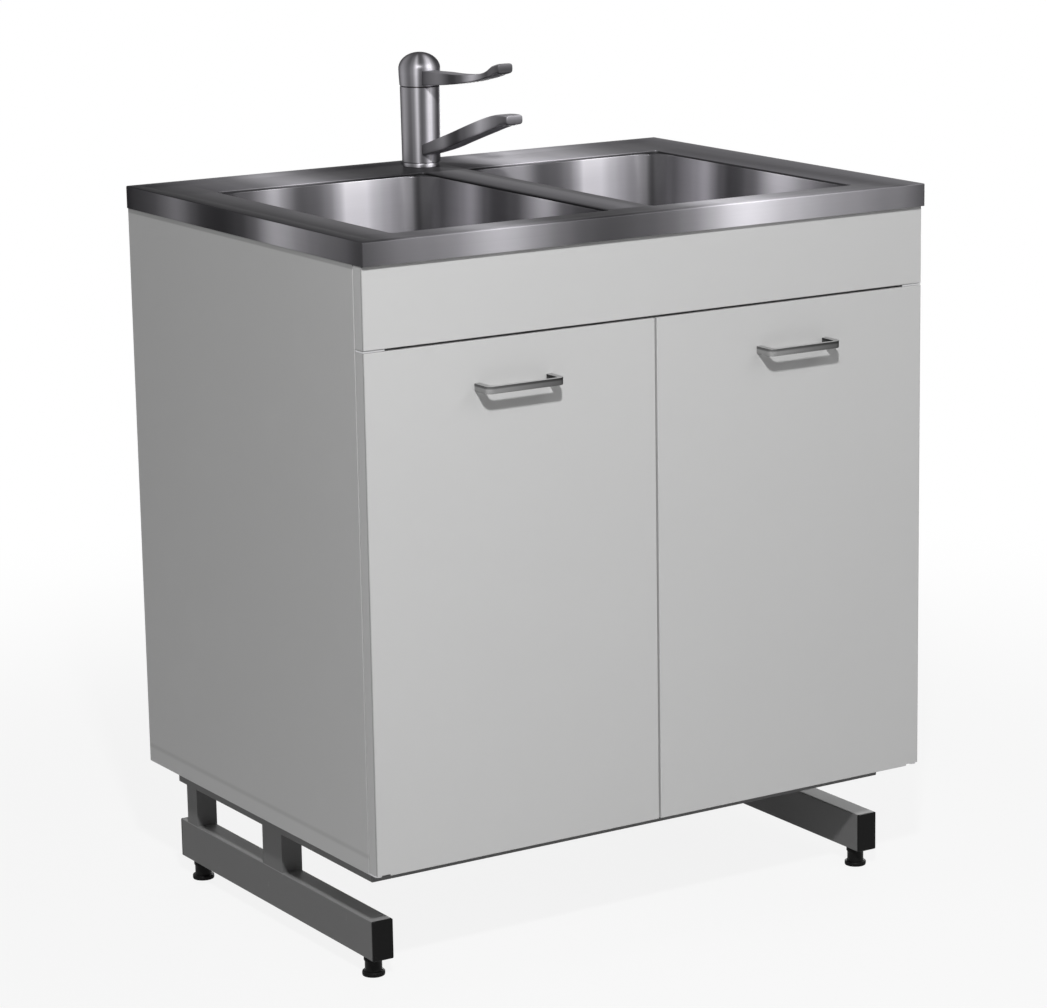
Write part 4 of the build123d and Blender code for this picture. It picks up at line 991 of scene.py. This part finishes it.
def makeTap(steel):
    t = tap
    sides = 96
    ring = turn(t["ring"], t["x"], t["y"], sides, closed=True)
    finishPiece(ring, "tapRing", "cabinet", "tap_steel", steel, "tap_base_ring")
    sleeve = turn(t["sleeve"], t["x"], t["y"], sides, closed=True)
    finishPiece(sleeve, "tapSleeve", "spout", "tap_steel", steel, "tap_sleeve")
    cap = turn(t["capInside"] + t["capSide"] + arc(*t["dome"]), t["x"], t["y"], sides)
    finishPiece(cap, "tapCap", "lever", "tap_steel", steel, "tap_cap")
    makeBar("lever", "tapLever", "tap_lever")
    makeBar("spout", "tapSpout", "tap_spout")
    # the aerator is set square to the sloping underside of the spout
    aerator = turn(t["aerator"], 0, 0, sides // 2)
    aerator.rotation_euler = (radians(t["aeratorTilt"]), 0, 0)
    aerator.location = metres(*t["aeratorAt"])
    finishPiece(aerator, "tapAerator", "spout", "tap_steel", plainSteel("aeratorSteel"),
                "tap_aerator")


# feet

foot = {
    "x": -361.5, "y": -200.2, "apartX": 723, "apartY": 444.8,
    "rings": [
        (12.6, 0), (13.5, 0.3), (13.9, 1.4), (13.9, 4.6), (13.3, 5.7), (12.4, 6), (10.8, 6.4), (10.5, 7.6),
        (10.5, 17.4), (10.9, 18.8), (11.6, 19.4), (11.6, 24), (11, 24.8), (5, 24.8), (5, 57.4), (4.2, 58)],
    "flute": 7.5, "fluteIn": 0.12, "fluteDeep": 0.4, "gripZ": ((1.4, 4.6), (19.4, 24)),
}


def makeFeet(plastic):
    f = foot
    first = turn(f["rings"], f["x"], f["y"], 48)

    def onFlute(p, n):
        around = degrees(atan2(p.y - f["y"], p.x - f["x"])) % 360
        return abs(n.z) < 0.3 and any(low < p.z < high for low, high in f["gripZ"]) \
            and round(around / f["flute"] - 0.5) % 2 == 0

    # grip flutes round the collar and the pad
    pick(first, "FACE", onFlute)
    bpy.ops.mesh.inset(thickness=f["fluteIn"] / 1000, depth=-f["fluteDeep"] / 1000,
                       use_individual=True)
    feet = [("Front", "Left", first), ("Front", "Right", copyOf(first, f["apartX"], 0)),
            ("Rear", "Left", copyOf(first, 0, f["apartY"])),
            ("Rear", "Right", copyOf(first, f["apartX"], f["apartY"]))]
    for end, side, piece in feet:
        body = "foot_" + end.lower() + "_" + side.lower()
        finishPiece(piece, "foot" + end + side, body, "black_plastic", plastic, body)


def dress(material, *nodes):
    for node in nodes:
        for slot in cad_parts[node].material_slots:
            slot.material = material


wasteSteel = plainSteel("wasteSteel")
blackPlastic = mouldedPlastic("blackPlastic")
makeDeck(deckSteel())
makeBowls(bowlSteel())
makeWastes(wasteSteel)
makeHandles(handleSteel())
makeTap(turnedSteel())
makeFeet(blackPlastic)

dress(facedBoard("carcassBoard", sideMarksAndPaintedShadow), "side_panel_left", "side_panel_right",
      "bottom_panel", "front_stretcher", "rear_stretcher")
dress(facedBoard("frontBoard", frontSeams), "door_left", "door_right", "fascia_panel")
dress(hardBoard(), "back_panel")
dress(rawBoard(), "deck_core")
dress(powderPaint(), "leg_frame_left", "leg_frame_right", "cross_rails")
dress(blackPlastic, "rail_caps")
dress(mouldedPlastic("pipePlastic"), "crossbar_pipe", "trap_body", "trap_cup", "pipe_nuts",
      "outlet_pipe", "waste_nuts")
dress(mouldedPlastic("catchPlastic"), "door_catches")
dress(mouldedPlastic("cartridgePlastic"), "tap_cartridge")
dress(turnedBrass(), "tap_core", "tap_nut", "tap_carrier")
dress(wasteSteel, "strainer_left", "strainer_right")
dress(plainSteel("zincSteel"), "bracket_screws", "plate_screws", "handle_screws_left",
      "handle_screws_right", "foot_nuts", "frame_bolts", "frame_nuts", "hinge_bracket_left",
      "hinge_bracket_right", "hinge_plate_left", "hinge_plate_right", "lift_pin",
      "strike_left", "strike_right")
print("nodes dressed")


# studio: places and sizes are in metres

studio = {
    "floorSize": 14, "floorTone": 0.6, "fade": (0.7, 2.2, 0.87, 1.0), "ambient": 0.084,
    "key": {"from": (-0.374, -0.701, 0.607), "away": 3.2, "aim": (-0.2, -0.28, 0.7),
            "size": (0.16, 0.16), "power": 93},
    "front": {"place": (1.3, -2.6, 2.4), "aim": (0, -0.28, 0.7), "size": (2.0, 1.5), "power": 18},
    "rear": {"place": (2.7, 2.7, 0.45), "aim": (0, 0, 0.45), "size": (3.0, 0.7), "power": 90},
}


def seenDirectly(net):
    path = net.node("ShaderNodeLightPath", {}, {}, "Is Camera Ray")
    glossy, through = path.beside("Is Glossy Ray"), path.beside("Is Transmission Ray")
    return path.sum("MAXIMUM", path, path.sum("MAXIMUM", glossy, through))


def makeFloor():
    dropAll()
    bpy.ops.mesh.primitive_plane_add(size=studio["floorSize"], location=(0, 0, 0))
    floor = bpy.context.object
    floor.name = floor.data.name = "studioFloor"
    pale = Finish("paleFloor", Roughness=0.9)
    cloud = pale.noise(3.0, 2.0)
    plain = pale.shader(Base_Color=pale.shade(grey(studio["floorTone"]), 0.99 + cloud * 0.02))
    # seen directly or in a mirror it fades to plain white, and near the object it keeps the shadow
    fade = pale.spread(pale.vector("LENGTH", pale.place, output="Value"), *studio["fade"])
    glow = pale.node("ShaderNodeEmission", {}, {"Color": grey(1), "Strength": 1.0})
    mixed = pale.node("ShaderNodeMixShader", {}, [seenDirectly(pale) * fade, plain, glow])
    pale.node("ShaderNodeOutputMaterial", {}, {"Surface": mixed})
    floor.data.materials.append(pale.material)


def lamp(name, place, aim, size, power):
    bpy.ops.object.light_add(type="AREA", location=place)
    made = bpy.context.object
    made.name = name
    made.data.shape = "RECTANGLE"
    made.data.size, made.data.size_y = size
    made.data.energy = power
    made.rotation_euler = (Vector(place) - Vector(aim)).to_track_quat("Z", "Y").to_euler()


def lightStudio():
    key = studio["key"]
    place = tuple(aim + step * key["away"] for aim, step in zip(key["aim"], key["from"]))
    lamp("keyLamp", place, key["aim"], key["size"], key["power"])
    for name in ("front", "rear"):
        fill = studio[name]
        lamp(name + "Fill", fill["place"], fill["aim"], fill["size"], fill["power"])
    world = bpy.data.worlds.new("studioWorld")
    bpy.context.scene.world = world
    world.use_nodes = True
    sky = Net(world.node_tree)
    strength = studio["ambient"] + seenDirectly(sky) * (1 - studio["ambient"])
    background = sky.node("ShaderNodeBackground", {}, {"Color": grey(1), "Strength": strength})
    sky.node("ShaderNodeOutputWorld", {}, {"Surface": background})
    bpy.context.scene.view_settings.view_transform = "Standard"


camera = {
    "place": (-2.39147, -3.83462, 1.51223), "turn": (77.2808, 0.6222, -33.5412),
    "lens": 125.535, "sensor": 36, "farthest": 50,
    "shiftX": -0.0955,  # the photograph is cut to the right of its own middle
}


def setCamera():
    turned = tuple(radians(value) for value in camera["turn"])
    bpy.ops.object.camera_add(location=camera["place"], rotation=turned)
    eye = bpy.context.object
    eye.name = "photoCamera"
    eye.data.lens = camera["lens"]
    eye.data.sensor_width = camera["sensor"]
    eye.data.sensor_fit = "HORIZONTAL"
    eye.data.shift_x = camera["shiftX"]
    eye.data.clip_end = camera["farthest"]
    bpy.context.scene.camera = eye


makeFloor()
lightStudio()
setCamera()
print("studio lit")

dropAll()
